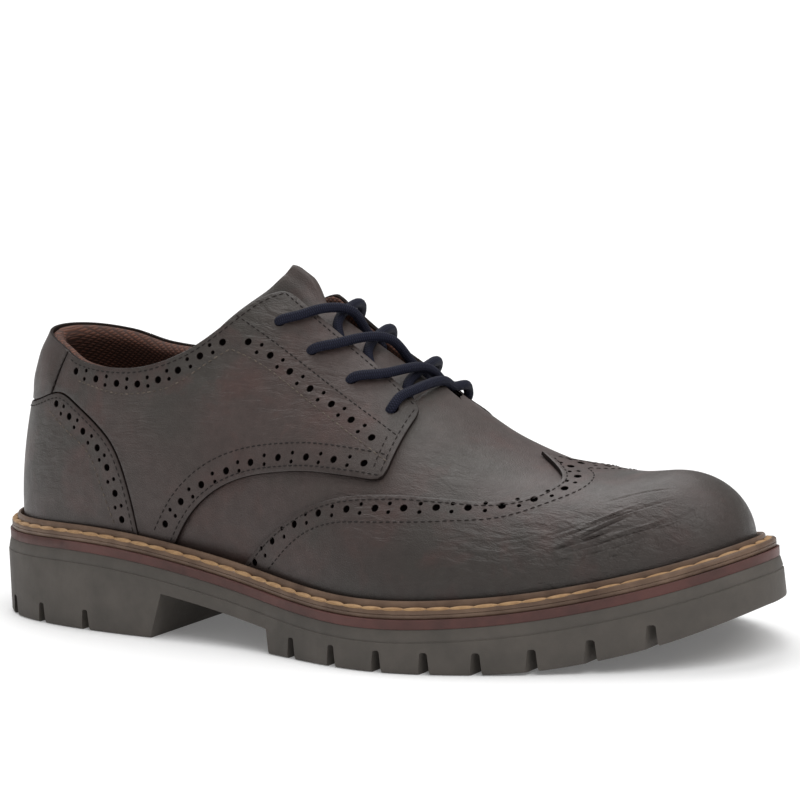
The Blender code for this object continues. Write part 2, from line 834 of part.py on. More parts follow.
def build_quarter(side, group):
    angles = np.linspace(float(angle_of(QUARTER_BACK)), float(angle_of(QUARTER_FRONT)), 20)

    def low(angle):
        along = (1 - math.cos(angle)) / 2
        if along > QUARTER_EDGE[0][0]:
            return edge_rise(QUARTER_EDGE, angle)
        back = (1 - math.cos(angle - 0.006)) / 2
        if back > COUNTER_EDGE[-1][0]:
            return 0.0
        return edge_rise(COUNTER_EDGE, angle - 0.006) + 0.005

    columns = upright(angles, low, upper_top, 10)
    if side == MEDIAL:
        columns = mirrored(columns)
    name = "quarter_lateral" if side == LATERAL else "quarter_medial"
    return overlay(name, columns, OVERLAY_THICKNESS, group)


def build_counter(group):
    end = float(angle_of(COUNTER_EDGE[-1][0])) - 0.02
    columns = upright(np.linspace(-end, end, 27), lambda a: 0.0, lambda a: edge_rise(COUNTER_EDGE, a), 7)
    return overlay("heel_counter", columns, COUNTER_THICKNESS, group)


def build_heel_tab(group):
    end = float(angle_of(TAB_END))
    angles = np.linspace(-end, end, 13)
    columns = upright(angles, lambda a: edge_rise(COUNTER_EDGE, a) + 0.006, upper_top, 4)
    return overlay("heel_tab", columns, TAB_THICKNESS, group)


def build_tongue(group):
    """It lies under the facings, from inside the vamp to a peak above them."""
    table = np.array(TONGUE_TOP)
    front = float(angle_of(TONGUE_FRONT))
    half = []
    for along, rise in table:
        share = (rise - table[0, 1]) / (1 - table[0, 1])
        low = (front, TONGUE_FRONT_RISE + (1 - TONGUE_FRONT_RISE) * share)
        half.append(ladder(low, (float(angle_of(along)), float(rise)), 12))
    columns = half + mirrored(half)[-2::-1]
    outer = -GAP - TONGUE_SINK

    def stand(angles, rises):
        back = np.clip((angle_of(0.43) - np.minimum(angles, 2 * math.pi - angles)) / 0.08, 0, 1)
        return TONGUE_STAND * back * np.clip((rises - 0.94) / 0.05, 0, 1)

    return patch(
        "tongue", columns, outer - TONGUE_THICKNESS, outer, "overlay_leather", group, lift=stand
    )


def throat_point(along, across, depth):
    """A point over the throat: across is the distance from the ridge, negative outwards."""
    angle = float(angle_of(along))
    rise = rise_at_edge(angle, abs(across))
    turned = 2 * math.pi - angle if across > 0 else angle
    if abs(across) >= facing_gap(along) - FACING_GAP / 4:
        depth = depth + float(facing_stand(np.array([turned]), np.array([rise]))[0])
    return shell_point(np.array(turned), np.array(rise), np.array(depth))


def lace_marks(number, side):
    """Centre line of a lace: from its eyelet over the facing's edge, across the throat and
    down to the other facing's edge. The outer side's lace crosses over the inner side's."""
    along = EYELETS[number][0 if side == LATERAL else 1]
    reach = EYELETS[number][2]
    edge, ridge, end = OUTER_LACE if side == LATERAL else INNER_LACE
    over = UPPER_WALL + OVERLAY_FIT + OVERLAY_THICKNESS + GAP + LACE_RADIUS
    low = LACE_RADIUS - TONGUE_SINK + GAP
    middle = low + GAP + (LACE_RADIUS * 0.9 if side == LATERAL else 0)
    gap, far_gap = facing_gap(along + edge), facing_gap(along + end)
    return [
        throat_point(along, side * reach, over),
        throat_point(along + edge * 0.6, side * (gap + reach) / 2, over + LACE_LIFT),
        throat_point(along + edge, side * gap, over + LACE_LIFT / 2),
        throat_point(along + ridge, side * GAP, middle),
        throat_point(along + end, -side * (far_gap - LACE_RADIUS * 2.4), low),
    ]


def tube(name, marks, group):
    """A round cord along a smooth line through a few marks, as a mesh."""
    curve = bpy.data.curves.new(name, "CURVE")
    curve.dimensions = "3D"
    curve.bevel_depth = LACE_RADIUS
    curve.bevel_resolution = 1
    curve.resolution_u = 2
    curve.use_fill_caps = True
    spline = curve.splines.new("BEZIER")
    spline.bezier_points.add(len(marks) - 1)
    for point, mark in zip(spline.bezier_points, marks):
        point.co = mark
        point.handle_left_type = "AUTO"
        point.handle_right_type = "AUTO"
    line = bpy.data.objects.new(name + "_line", curve)
    group.objects.link(line)
    bpy.context.view_layer.update()
    mesh = bpy.data.meshes.new_from_object(line.evaluated_get(bpy.context.evaluated_depsgraph_get()))
    bpy.data.objects.remove(line)
    weld = bmesh.new()
    weld.from_mesh(mesh)
    bmesh.ops.remove_doubles(weld, verts=weld.verts, dist=1e-6)
    bmesh.ops.recalc_face_normals(weld, faces=weld.faces)
    weld.to_mesh(mesh)
    weld.free()
    return mesh


def build_lace_cross(number, group, cutters):
    name = f"lace_cross_{number + 1}"
    upper = add_object(name, tube(name, lace_marks(number, LATERAL), group), "lace_navy", group)
    lower = bpy.data.objects.new(name + "_under", tube(name + "_under", lace_marks(number, MEDIAL), group))
    cutters.objects.link(lower)
    lower.hide_render = True
    lower.display_type = "WIRE"
    cut(upper, lower, "UNION")
    return upper


def build_lace_bar(group):
    """The bar between the two lowest eyelets."""
    outer, inner, reach = EYELETS[-1]
    over = UPPER_WALL + OVERLAY_FIT + OVERLAY_THICKNESS + GAP + LACE_RADIUS
    edge = facing_gap(inner)
    marks = [
        throat_point(along, side * across, over + lift)
        for along, side, across, lift in (
            (outer, LATERAL, reach, 0),
            ((outer + inner) / 2, LATERAL, edge, LACE_LIFT),
            (inner + 0.006, MEDIAL, GAP, -LACE_RADIUS),
            (inner + 0.004, MEDIAL, edge, LACE_LIFT),
            (inner, MEDIAL, reach, 0),
        )
    ]
    return add_object("lace_bar", tube("lace_bar", marks, group), "lace_navy", group)


def build_all():
    clear_scene()
    shoe = collection("brogue_derby_shoe")
    cutters = collection("cutters", hidden=True)
    build_outsole(shoe, cutters)
    build_midsole(shoe)
    build_welt(shoe)
    build_insole(shoe)
    build_upper(shoe)
    build_wing_cap(shoe)
    for side in (LATERAL, MEDIAL):
        build_quarter(side, shoe)
    build_counter(shoe)
    build_heel_tab(shoe)
    build_tongue(shoe)
    for number in range(len(EYELETS) - 1):
        build_lace_cross(number, shoe, cutters)
    build_lace_bar(shoe)


build_all()
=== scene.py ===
"""Brogue derby shoe for the right foot: leather, stitching, perforations and lace.

The panels are cut from the same last as the solids. A place on it is a pair (angle, rise):
angle 0 is the middle of the heel and pi the toe, rise 0 the welt and 1 the ridge of the foot.
Angles over pi are on the inner side. X runs to the toe, Y to the inner side, Z up.
"""

import json
import math

import bmesh
import bpy
import numpy as np
from mathutils import Matrix
from mathutils.geometry import delaunay_2d_cdt
from mathutils.kdtree import KDTree

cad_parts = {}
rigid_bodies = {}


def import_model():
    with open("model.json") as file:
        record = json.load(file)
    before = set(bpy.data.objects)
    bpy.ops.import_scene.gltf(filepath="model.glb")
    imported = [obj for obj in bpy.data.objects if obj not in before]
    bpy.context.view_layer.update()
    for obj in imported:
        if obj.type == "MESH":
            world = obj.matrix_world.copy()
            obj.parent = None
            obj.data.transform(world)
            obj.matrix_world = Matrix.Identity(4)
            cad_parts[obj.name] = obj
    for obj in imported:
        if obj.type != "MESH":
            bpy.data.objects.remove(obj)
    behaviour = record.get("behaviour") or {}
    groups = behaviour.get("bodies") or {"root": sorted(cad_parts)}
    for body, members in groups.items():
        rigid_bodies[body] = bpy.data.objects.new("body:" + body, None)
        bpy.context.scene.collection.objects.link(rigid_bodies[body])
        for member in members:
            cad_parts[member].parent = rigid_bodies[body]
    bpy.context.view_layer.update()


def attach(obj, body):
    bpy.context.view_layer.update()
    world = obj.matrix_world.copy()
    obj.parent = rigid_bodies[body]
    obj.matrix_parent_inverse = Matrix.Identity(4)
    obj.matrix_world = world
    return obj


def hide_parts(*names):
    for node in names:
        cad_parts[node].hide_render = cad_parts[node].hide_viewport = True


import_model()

MM = 0.001
FULL_TURN = 2 * math.pi
LATERAL = -1
MEDIAL = 1

# Sizes of the shoe
SOLE_LENGTH = 306 * MM
BALL_WIDTH = 115 * MM
FORE_THICKNESS = 14.2 * MM
HEEL_RISE = 13.4 * MM
TOE_SPRING = 16.5 * MM
SOLE_FLARE = 1.2 * MM
LEDGE_DROP = 4.0 * MM
LEDGE_STEP = 0.7 * MM
HEEL_BREAST = 86.4 * MM
BREAST_LEAN = 8 * MM
FORE_BLOCK = 145 * MM
FORE_LEAN = 1.5 * MM
ARCH_THICKNESS = 8.5 * MM
HEEL_LUGS = (14 * MM, 33 * MM, 57 * MM)
FORE_LUGS = tuple(k * MM for k in (156.2, 175.8, 194.9, 212, 228.9, 246, 263.3, 280.6))
LUG_HEIGHT = 8 * MM
LUG_SLOT = 4.2 * MM
LUG_REACH = 15 * MM
GAP = 0.3 * MM
MIDSOLE_THICKNESS = 2.6 * MM
MIDSOLE_INSET = 0.5 * MM
WELT_THICKNESS = 3.2 * MM
WELT_INSET = 1.4 * MM
WELT_WIDTH = 10.4 * MM
WELT_FLANGE = 7.0 * MM
GROOVE_WIDTH = 2.6 * MM
GROOVE_DEPTH = 1.2 * MM
LIP_HEIGHT = 2.2 * MM
LIP_THICKNESS = 1.6 * MM
LIP_LEAN = 1.7 * MM
INSOLE_THICKNESS = 3.5 * MM
UPPER_WALL = 1.8 * MM
OVERLAY_FIT = 0.55 * MM
OVERLAY_THICKNESS = 1.2 * MM
COUNTER_THICKNESS = 1.3 * MM
TAB_THICKNESS = 1.6 * MM
COLLAR_PADDING = 3.2 * MM
PADDING_DEPTH = 22 * MM
BACK_HEIGHT = 101.5 * MM
ANKLE_HEIGHT = 90.3 * MM
FACING_TOP = 115 * MM
RIDGE_HEIGHT = 142 * MM
FACING_GAP = 7.5 * MM
FACING_SPREAD = 10.2 * MM
FACING_STAND = 5.5 * MM
STAND_REACH = 24 * MM
TONGUE_THICKNESS = 2.0 * MM
TONGUE_SINK = 1.1 * MM
TONGUE_STAND = 2.4 * MM
LACE_RADIUS = 1.7 * MM

OUTLINE = (
    # along, lateral, medial
    (0.00, 1.16, 1.16),
    (0.10, 0.97, 1.00),
    (0.20, 0.87, 0.81),
    (0.31, 0.815, 0.66),
    (0.42, 0.825, 0.60),
    (0.54, 0.995, 0.69),
    (0.64, 1.12, 0.87),
    (0.75, 1.11, 1.08),
    (0.84, 1.06, 1.20),
    (0.92, 1.05, 1.23),
    (1.00, 1.14, 1.14),
)
SEAT = (
    # along, heel share, top spring share, tread spring share
    (0.000, 0.97, 0.00, 0.00),
    (0.100, 1.00, 0.00, 0.00),
    (0.200, 0.99, 0.00, 0.00),
    (0.300, 0.79, 0.00, 0.00),
    (0.400, 0.44, 0.00, 0.00),
    (0.500, 0.13, 0.00, 0.00),
    (0.580, 0.00, 0.00, 0.00),
    (0.700, 0.00, 0.02, 0.00),
    (0.780, 0.00, 0.13, 0.03),
    (0.866, 0.00, 0.37, 0.25),
    (0.940, 0.00, 0.68, 0.61),
    (1.000, 0.00, 1.00, 1.03),
)
RIDGE = (
    # along, height, lean
    (0.190, 1.000, 0.000),
    (0.250, 1.012, 0.004),
    (0.300, 0.995, 0.010),
    (0.345, 0.949, 0.015),
    (0.385, 0.891, 0.018),
    (0.425, 0.830, 0.020),
    (0.467, 0.770, 0.020),
    (0.506, 0.717, 0.020),
    (0.540, 0.671, 0.020),
    (0.572, 0.625, 0.019),
    (0.602, 0.578, 0.018),
    (0.634, 0.529, 0.016),
    (0.664, 0.483, 0.013),
    (0.696, 0.446, 0.010),
    (0.729, 0.416, 0.006),
    (0.760, 0.395, 0.003),
    (0.794, 0.379, 0.001),
    (0.827, 0.373, 0.000),
    (0.856, 0.377, 0.000),
    (0.890, 0.387, 0.000),
)
PROFILE = (
    # along, margin, shift, low out, low up, high out, high down
    (0.00, 1.00, 0.165, 0.002, 0.33, 0.59, 0.11),
    (0.10, 1.00, 0.125, 0.006, 0.34, 0.61, 0.10),
    (0.20, 1.00, 0.082, 0.012, 0.36, 0.64, 0.10),
    (0.30, 1.00, 0.042, 0.010, 0.36, 0.58, 0.12),
    (0.40, 1.00, 0.012, 0.006, 0.37, 0.52, 0.12),
    (0.50, 1.00, 0.000, 0.004, 0.40, 0.48, 0.08),
    (0.60, 1.00, 0.000, 0.006, 0.44, 0.47, 0.03),
    (0.70, 1.00, 0.000, 0.010, 0.50, 0.50, 0.00),
    (0.80, 1.00, -0.008, 0.012, 0.55, 0.54, 0.00),
    (0.90, 1.05, -0.037, 0.012, 0.58, 0.60, 0.00),
    (1.00, 1.12, -0.080, 0.010, 0.56, 0.66, 0.00),
)
TOPLINE = (
    # along, back, facing
    (0.000, 1.00, 0.00),
    (0.060, 0.98, 0.00),
    (0.100, 0.76, 0.00),
    (0.138, 0.45, 0.00),
    (0.175, 0.18, 0.00),
    (0.223, 0.02, 0.01),
    (0.257, 0.00, 0.03),
    (0.280, 0.00, 0.08),
    (0.308, 0.00, 0.19),
    (0.333, 0.00, 0.34),
    (0.372, 0.00, 0.70),
    (0.390, 0.00, 0.87),
    (0.410, 0.00, 0.97),
    (0.430, 0.00, 1.00),
)
TONGUE_TOP = (
    # along, rise
    (0.300, 0.560),
    (0.318, 0.640),
    (0.342, 0.740),
    (0.364, 0.840),
    (0.3775, 0.930),
    (0.3815, 0.970),
    (0.3825, 1.000),
)
TONGUE_FRONT = 0.640
VAMP_TUCK = 0.545
VAMP_MOUTH = 0.608
TONGUE_FRONT_RISE = 0.70
THROAT_END = 0.628
FACING_SHEAR = 0.085
QUARTER_FRONT = 0.617
SHEAR = (
    # along, share of FACING_SHEAR
    (0.26, 0),
    (0.34, 0.5),
    (0.40, 1),
    (0.47, 0.85),
    (0.56, 0.6),
    (0.62, 0.4),
    (0.68, 0),
)
FACING_START = 0.395
QUARTER_BACK = 0.094
# How far the inner facing stands off the last at its edge, as a share of FACING_STAND
STAND = (
    # along, share
    (0.310, 0.00),
    (0.400, 0.90),
    (0.430, 0.90),
    (0.470, 0.60),
    (0.510, 0.36),
    (0.560, 0.24),
    (0.590, 0.12),
    (0.612, 0.00),
)
EYELETS = (
    # outer along, inner along, from the ridge
    (0.412, 0.452, 18.4 * MM),
    (0.470, 0.500, 20.8 * MM),
    (0.532, 0.560, 22.8 * MM),
    (0.590, 0.604, 24.5 * MM),
)
# How far forward of its eyelet each outer lace passes the edge, the ridge and the far edge
OUTER_LACES = ((0.040, 0.072, 0.088), (0.040, 0.068, 0.088), (0.036, 0.054, 0.070))
INNER_LACE = (0.010, 0.021, 0.028)
EYELET_RADIUS = 2.0 * MM

# Cut edges of the panels, as shares of the sole's length and rises
WING_EDGE = (
    (0.410, 0.000),
    (0.441, 0.093),
    (0.476, 0.174),
    (0.517, 0.255),
    (0.570, 0.336),
    (0.624, 0.402),
    (0.693, 0.480),
    (0.759, 0.552),
    (0.786, 0.625),
    (0.800, 0.710),
    (0.803, 0.803),
    (0.778, 0.919),
    (0.743, 1.000),
)
QUARTER_EDGE = (
    (0.300, 0.000),
    (0.325, 0.104),
    (0.361, 0.197),
    (0.412, 0.274),
    (0.467, 0.328),
    (0.508, 0.363),
    (0.564, 0.402),
    (0.617, 0.443),
)
COUNTER_EDGE = (
    (0.000, 0.335),
    (0.050, 0.345),
    (0.092, 0.363),
    (0.128, 0.336),
    (0.174, 0.286),
    (0.207, 0.230),
    (0.226, 0.160),
    (0.238, 0.085),
    (0.246, 0.000),
)

# Middle lines of the perforated bands, as (angle, rise)
COLLAR_HOLES = (
    (0.698, 0.421), (0.821, 0.405), (0.920, 0.402), (1.002, 0.413), (1.072, 0.440),
    (1.131, 0.483), (1.190, 0.544), (1.248, 0.610),
)
FACING_HOLES = (
    (1.324, 0.649), (1.400, 0.645), (1.470, 0.629), (1.541, 0.610), (1.611, 0.598),
    (1.675, 0.583), (1.740, 0.564),
)
QUARTER_HOLES = (
    (1.137, 0.066), (1.190, 0.143), (1.254, 0.208), (1.330, 0.270), (1.406, 0.320),
    (1.494, 0.367), (1.582, 0.405), (1.664, 0.436), (1.746, 0.471),
)
COUNTER_HOLES = (
    (0.610, 0.336), (0.710, 0.305), (0.797, 0.270), (0.873, 0.232), (0.920, 0.185),
    (0.955, 0.120), (0.979, 0.050),
)
WING_HOLES = (
    (1.435, 0.031), (1.500, 0.120), (1.576, 0.197), (1.652, 0.259), (1.734, 0.305),
    (1.810, 0.344), (1.880, 0.382), (1.956, 0.429), (2.032, 0.467), (2.114, 0.517),
    (2.190, 0.595), (2.261, 0.718), (2.267, 0.861), (2.202, 0.954), (2.138, 1.000),
)

# Rows of stitching, as (angle, rise)
WING_LOW_ROW = (
    (1.482, 0.023), (1.599, 0.170), (1.710, 0.251), (1.828, 0.301), (2.009, 0.390),
    (2.132, 0.459), (2.243, 0.595), (2.331, 0.764), (2.319, 0.919), (2.255, 1.000),
)
COLLAR_LOW_ROW = (
    (0.721, 0.398), (0.838, 0.382), (0.944, 0.378), (1.037, 0.398), (1.102, 0.425),
    (1.160, 0.471), (1.213, 0.529), (1.277, 0.602),
)
FACING_LOW_ROW = (
    (1.277, 0.602), (1.353, 0.606), (1.529, 0.575), (1.710, 0.533), (1.800, 0.515),
)
FACING_IN_ROW = (
    (1.260, 0.707), (1.406, 0.691), (1.529, 0.668), (1.681, 0.637), (1.792, 0.622),
)
COUNTER_IN_ROW = (
    (0.560, 0.318), (0.640, 0.293), (0.733, 0.259), (0.844, 0.205), (0.897, 0.131),
    (0.950, 0.031),
)
BIG_HOLE = 1.15 * MM
SMALL_HOLE = 0.58 * MM
STITCH_PITCH = 2.4 * MM
WELT_PITCH = 8 * MM


class Spline:
    """A natural cubic spline through the first column and one other column of a table."""

    def __init__(self, rows, column):
        self.x = np.array([row[0] for row in rows], float)
        self.y = np.array([row[column] for row in rows], float)
        step = np.diff(self.x)
        slope = np.diff(self.y) / step
        count = len(self.x)
        matrix = np.eye(count)
        right = np.zeros(count)
        for i in range(1, count - 1):
            matrix[i, i - 1 : i + 2] = step[i - 1], 2 * (step[i - 1] + step[i]), step[i]
            right[i] = 6 * (slope[i] - slope[i - 1])
        self.bend = np.linalg.solve(matrix, right)

    def __call__(self, x):
        x = np.clip(np.asarray(x, float), self.x[0], self.x[-1])
        i = np.clip(np.searchsorted(self.x, x) - 1, 0, len(self.x) - 2)
        step = self.x[i + 1] - self.x[i]
        a = (self.x[i + 1] - x) / step
        b = 1 - a
        bend = (a**3 - a) * self.bend[i] + (b**3 - b) * self.bend[i + 1]
        return a * self.y[i] + b * self.y[i + 1] + bend * step**2 / 6


def unit(vectors):
    """The same directions, each with a length of 1."""
    return vectors / np.linalg.norm(vectors, axis=-1, keepdims=True)


def run_along(points, power=1.0):
    """How far along a line each of its points is."""
    steps = np.linalg.norm(np.diff(points, axis=0), axis=1) ** power
    return np.concatenate([[0], np.cumsum(steps)])


def even_steps(length, spacing):
    return np.linspace(0, length, max(2, int(round(length / spacing)) + 1))


def smooth(x):
    x = np.clip(x, 0, 1)
    return x * x * (3 - 2 * x)


SIDE_WIDTH = {LATERAL: Spline(OUTLINE, 1), MEDIAL: Spline(OUTLINE, 2)}
HEEL_SHARE = Spline(SEAT, 1)
TOP_SPRING = Spline(SEAT, 2)
TREAD_SPRING = Spline(SEAT, 3)
RIDGE_SHARE = Spline(RIDGE, 1)
RIDGE_LEAN = Spline(RIDGE, 2)
PROFILE_COLUMNS = [Spline(PROFILE, column) for column in range(2, 7)]
MARGIN_SHARE = Spline(PROFILE, 1)
BACK_SHARE = Spline(TOPLINE, 1)
FRONT_SHARE = Spline(TOPLINE, 2)
STAND_SHARE = Spline(STAND, 1)


def side_y(angle, inset):
    along = (1 - np.cos(angle)) / 2
    side = np.where(np.sin(angle) >= 0, LATERAL, MEDIAL)
    width = np.where(side == LATERAL, SIDE_WIDTH[LATERAL](along), SIDE_WIDTH[MEDIAL](along))
    return side * np.abs(np.sin(angle)) * (width * BALL_WIDTH / 2 - inset)


TURN = np.linspace(0, FULL_TURN, 721)
WIDEST = side_y(TURN, -SOLE_FLARE)
CENTRE_X = SOLE_LENGTH / 2
CENTRE_Y = (WIDEST.min() + WIDEST.max()) / 2


def outline(angle, inset):
    """The sole's outline, inset, in the part's frame."""
    angle = np.asarray(angle, float)
    x = inset + (SOLE_LENGTH - 2 * inset) * (1 - np.cos(angle)) / 2
    return x - CENTRE_X, side_y(angle, inset) - CENTRE_Y


def along_of(x):
    return np.clip((np.asarray(x) + CENTRE_X) / SOLE_LENGTH, 0, 1)


def angle_of(along):
    return np.arccos(1 - 2 * np.clip(along, 0, 1))


def turn_at(along):
    return float(angle_of(along))


def sole_top(x):
    along = along_of(x)
    return FORE_THICKNESS + HEEL_RISE * HEEL_SHARE(along) + TOE_SPRING * TOP_SPRING(along)


def tread(x):
    along = along_of(x)
    return np.where(along < SEAT[7][0], 0, TOE_SPRING * np.maximum(TREAD_SPRING(along), 0))


# The layers of the sole are pressed together
CLOSE = 0.02 * MM
MIDSOLE_BASE = GAP
MIDSOLE_TOP = MIDSOLE_BASE + MIDSOLE_THICKNESS
WELT_BASE = MIDSOLE_TOP + GAP
WELT_TOP = WELT_BASE + WELT_THICKNESS
FEATHER = WELT_TOP + GAP


# A normal isn't read nearer to the ridge than this rise
NEAR_RIDGE = 0.985


def ridge_height(x):
    return RIDGE_HEIGHT * RIDGE_SHARE(along_of(x))


def welt_margin(angle):
    return WELT_WIDTH * MARGIN_SHARE((1 - np.cos(angle)) / 2)


def last_point(angle, rise):
    """A point on the last, on one cubic curve from the welt to the ridge."""
    angle, rise = np.broadcast_arrays(np.asarray(angle, float), np.asarray(rise, float))
    along = (1 - np.cos(angle)) / 2
    shift, low_out, low_up, high_out, high_down = (c(along) for c in PROFILE_COLUMNS)
    margin = welt_margin(angle)
    foot_x, foot_y = outline(angle, margin)
    foot_z = sole_top(foot_x) + FEATHER
    crest_x = foot_x + shift * SOLE_LENGTH
    crest_y = BALL_WIDTH * RIDGE_LEAN(along_of(crest_x)) - CENTRE_Y
    crest_z = ridge_height(crest_x)
    step = 1e-3
    ahead, behind = outline(angle + step, margin), outline(angle - step, margin)
    along_x, along_y = ahead[0] - behind[0], ahead[1] - behind[1]
    size = np.hypot(along_x, along_y)
    out_x, out_y = along_y / size, -along_x / size
    height = crest_z - foot_z
    reach_x, reach_y = foot_x - crest_x, foot_y - crest_y
    slope = (ridge_height(crest_x + MM) - ridge_height(crest_x - MM)) / (2 * MM)
    crown = np.clip((along - 0.45) / 0.1, 0, 1)
    handles = (
        (foot_x, foot_y, foot_z),
        (
            foot_x + out_x * low_out * BALL_WIDTH,
            foot_y + out_y * low_out * BALL_WIDTH,
            foot_z + low_up * height,
        ),
        (
            crest_x + high_out * reach_x,
            crest_y + high_out * reach_y,
            crest_z - high_down * height + crown * slope * high_out * reach_x,
        ),
        (crest_x, crest_y, crest_z),
    )
    weights = ((1 - rise) ** 3, 3 * rise * (1 - rise) ** 2, 3 * rise**2 * (1 - rise), rise**3)
    return np.stack([sum(w * h[i] for w, h in zip(weights, handles)) for i in range(3)], -1)


def last_normal(angle, rise):
    step = 2e-3
    angle, flat = np.asarray(angle), np.clip(rise, step, 1 - 6 * step)
    across = last_point(angle + step, flat) - last_point(angle - step, flat)
    up = last_point(angle, flat + step) - last_point(angle, flat - step)
    normal = np.cross(across, up)
    return unit(normal)


def outward(path):
    """Unit vectors out of the last, at places of the chart."""
    return last_normal(path[:, 0], np.clip(path[:, 1], 0, NEAR_RIDGE))


def shell_point(angle, rise, depth):
    """A point at a distance outside the last, level at the welt and on the ridge's plane."""
    normal = last_normal(angle, rise)
    ridge = np.clip((np.asarray(rise) - 0.9) / 0.1, 0, 1)[..., None]
    foot = np.clip(1 - np.asarray(rise) / 0.06, 0, 1)[..., None]
    normal = normal * (1 - ridge * np.array([0.0, 1.0, 0.0]))
    normal = normal * (1 - foot * np.array([0.0, 0.0, 1.0]))
    base = last_point(angle, rise)
    point = base + unit(normal) * np.asarray(depth)[..., None]
    point[..., 2] += foot[..., 0] * (sole_top(point[..., 0]) - sole_top(base[..., 0]))
    return point


RISE_STEPS = np.linspace(0, 1, 201)


def rise_where(angle, height_at):
    points = last_point(angle, RISE_STEPS)
    above = points[:, 2] - height_at(points[:, 0])
    over = np.nonzero(above >= 0)[0]
    if not len(over):
        return 1.0
    i = over[0]
    share = above[i - 1] / (above[i - 1] - above[i])
    return float(RISE_STEPS[i - 1] + (RISE_STEPS[i] - RISE_STEPS[i - 1]) * share)


def rise_at_edge(angle, half_width):
    points = last_point(angle, RISE_STEPS)
    lengths = np.linalg.norm(np.diff(points, axis=0), axis=1)
    left = np.concatenate([np.cumsum(lengths[::-1])[::-1], [0]])
    return float(np.interp(half_width, left[::-1], RISE_STEPS[::-1]))


def topline_height(x):
    along = along_of(x)
    back = (BACK_HEIGHT - ANKLE_HEIGHT) * BACK_SHARE(along)
    front = (FACING_TOP - ANKLE_HEIGHT) * FRONT_SHARE(along)
    return ANKLE_HEIGHT + back + front


def facing_gap(along):
    forward = max(0.0, (along - FACING_START) / (THROAT_END - FACING_START))
    return FACING_GAP + FACING_SPREAD * forward**1.4


def upper_top(angle):
    """Rise of the upper's free edge: collar, facing, then the closed vamp."""
    along = float((1 - math.cos(angle)) / 2)
    if along >= THROAT_END:
        return 1.0
    collar = rise_where(angle, topline_height)
    if along < FACING_START - 0.09:
        return collar
    return min(collar, rise_at_edge(angle, facing_gap(along)))


# The free edge on both sides, tabled once
HALF_TURN = np.linspace(0, math.pi, 241)
TAB_LIFT = 0.010 * smooth((0.72 - HALF_TURN) / 0.2)
TOP_RISE = {
    LATERAL: np.array([upper_top(a) for a in HALF_TURN]) + TAB_LIFT,
    MEDIAL: np.array([upper_top(FULL_TURN - a) for a in HALF_TURN]) + TAB_LIFT,
}
THROAT_ANGLE = turn_at(THROAT_END)


def top_rise(angle, side=LATERAL):
    return np.interp(angle, HALF_TURN, TOP_RISE[side])


def facing_stand(angle, rise):
    """How far the inner facing stands off the last there, since the tongue and lace push it."""
    angle, rise = np.broadcast_arrays(np.asarray(angle, float), np.asarray(rise, float))
    half = np.minimum(angle, FULL_TURN - angle)
    top = np.interp(half, HALF_TURN, TOP_RISE[MEDIAL])
    step = 0.05
    height = np.linalg.norm(last_point(angle, top) - last_point(angle, top - step), axis=-1) / step
    below = np.maximum(top - rise, 0) * height
    share = np.maximum(STAND_SHARE((1 - np.cos(angle)) / 2), 0)
    return FACING_STAND * (np.sin(angle) < 0) * share * (1 - smooth(below / STAND_REACH))


# A flat chart of the lateral half: length along the welt line, and rise times a usual height
CHART_HEIGHT = 90 * MM
SPACING = 1.4 * MM
# Distances on the shoe are measured at the skin of the panels
SKIN = 2 * MM
CHART_TURN = np.linspace(0, math.pi, 1201)
CHART_RUN = run_along(np.stack(outline(CHART_TURN, welt_margin(CHART_TURN)), -1))


def to_flat(path):
    path = np.asarray(path, float)
    return np.stack([np.interp(path[:, 0], CHART_TURN, CHART_RUN), path[:, 1] * CHART_HEIGHT], -1)


def from_flat(flat):
    return np.stack([np.interp(flat[:, 0], CHART_RUN, CHART_TURN), flat[:, 1] / CHART_HEIGHT], -1)


def smooth_path(marks, spacing=SPACING):
    """A smooth line through a few places of the chart, in even steps."""
    flat = to_flat(marks)
    run = run_along(flat)
    rows = np.column_stack([run, flat])
    steps = even_steps(run[-1], spacing)
    return from_flat(np.column_stack([Spline(rows, 1)(steps), Spline(rows, 2)(steps)]))


def resample(path, spacing=SPACING):
    """The same line of the chart in even steps."""
    flat = to_flat(path)
    run = run_along(flat)
    steps = even_steps(run[-1], spacing)
    return from_flat(np.stack([np.interp(steps, run, flat[:, k]) for k in (0, 1)], -1))


def straight_path(start, end, spacing=SPACING):
    flat = to_flat([start, end])
    count = len(even_steps(np.linalg.norm(flat[1] - flat[0]), spacing))
    path = from_flat(flat[0] + (flat[1] - flat[0]) * np.linspace(0, 1, count)[:, None])
    path[0], path[-1] = start, end
    return path


def joined(*paths):
    """One closed border from paths that follow on from each other."""
    return np.concatenate([path[:-1] for path in paths])


def edge_path(table, spacing=SPACING):
    """A smooth line of the chart through places given as shares of the sole's length."""
    return smooth_path([(turn_at(along), rise) for along, rise in table], spacing)


def facing_shear(angle, rise):
    """How much further forward the inner facing's upper part lies, as an angle."""
    along = (1 - np.cos(angle)) / 2
    share = np.interp(along, *zip(*SHEAR))
    return FACING_SHEAR * share * smooth((rise / top_rise(angle, MEDIAL) - 0.45) / 0.4)


def both_sides(angle, rise, side, sheared=True):
    """A place of the lateral chart on either side of the foot, with its own topline."""
    if side == LATERAL:
        return angle, rise
    ratio = top_rise(angle, MEDIAL) / top_rise(angle, LATERAL)
    rise = np.minimum(rise * ratio, 1.0)
    shear = facing_shear(angle, rise) if sheared else 0
    return FULL_TURN - angle - shear, rise


def chart_axes(path, depth=SKIN):
    """How a point moves with the angle and with the rise, in metres."""
    step = 1e-3
    angle, rise = path[:, 0], np.clip(path[:, 1], step, 1 - 7 * step)
    along = shell_point(angle + step, rise, depth) - shell_point(angle - step, rise, depth)
    up = shell_point(angle, rise + step, depth) - shell_point(angle, rise - step, depth)
    return along / (2 * step), up / (2 * step)


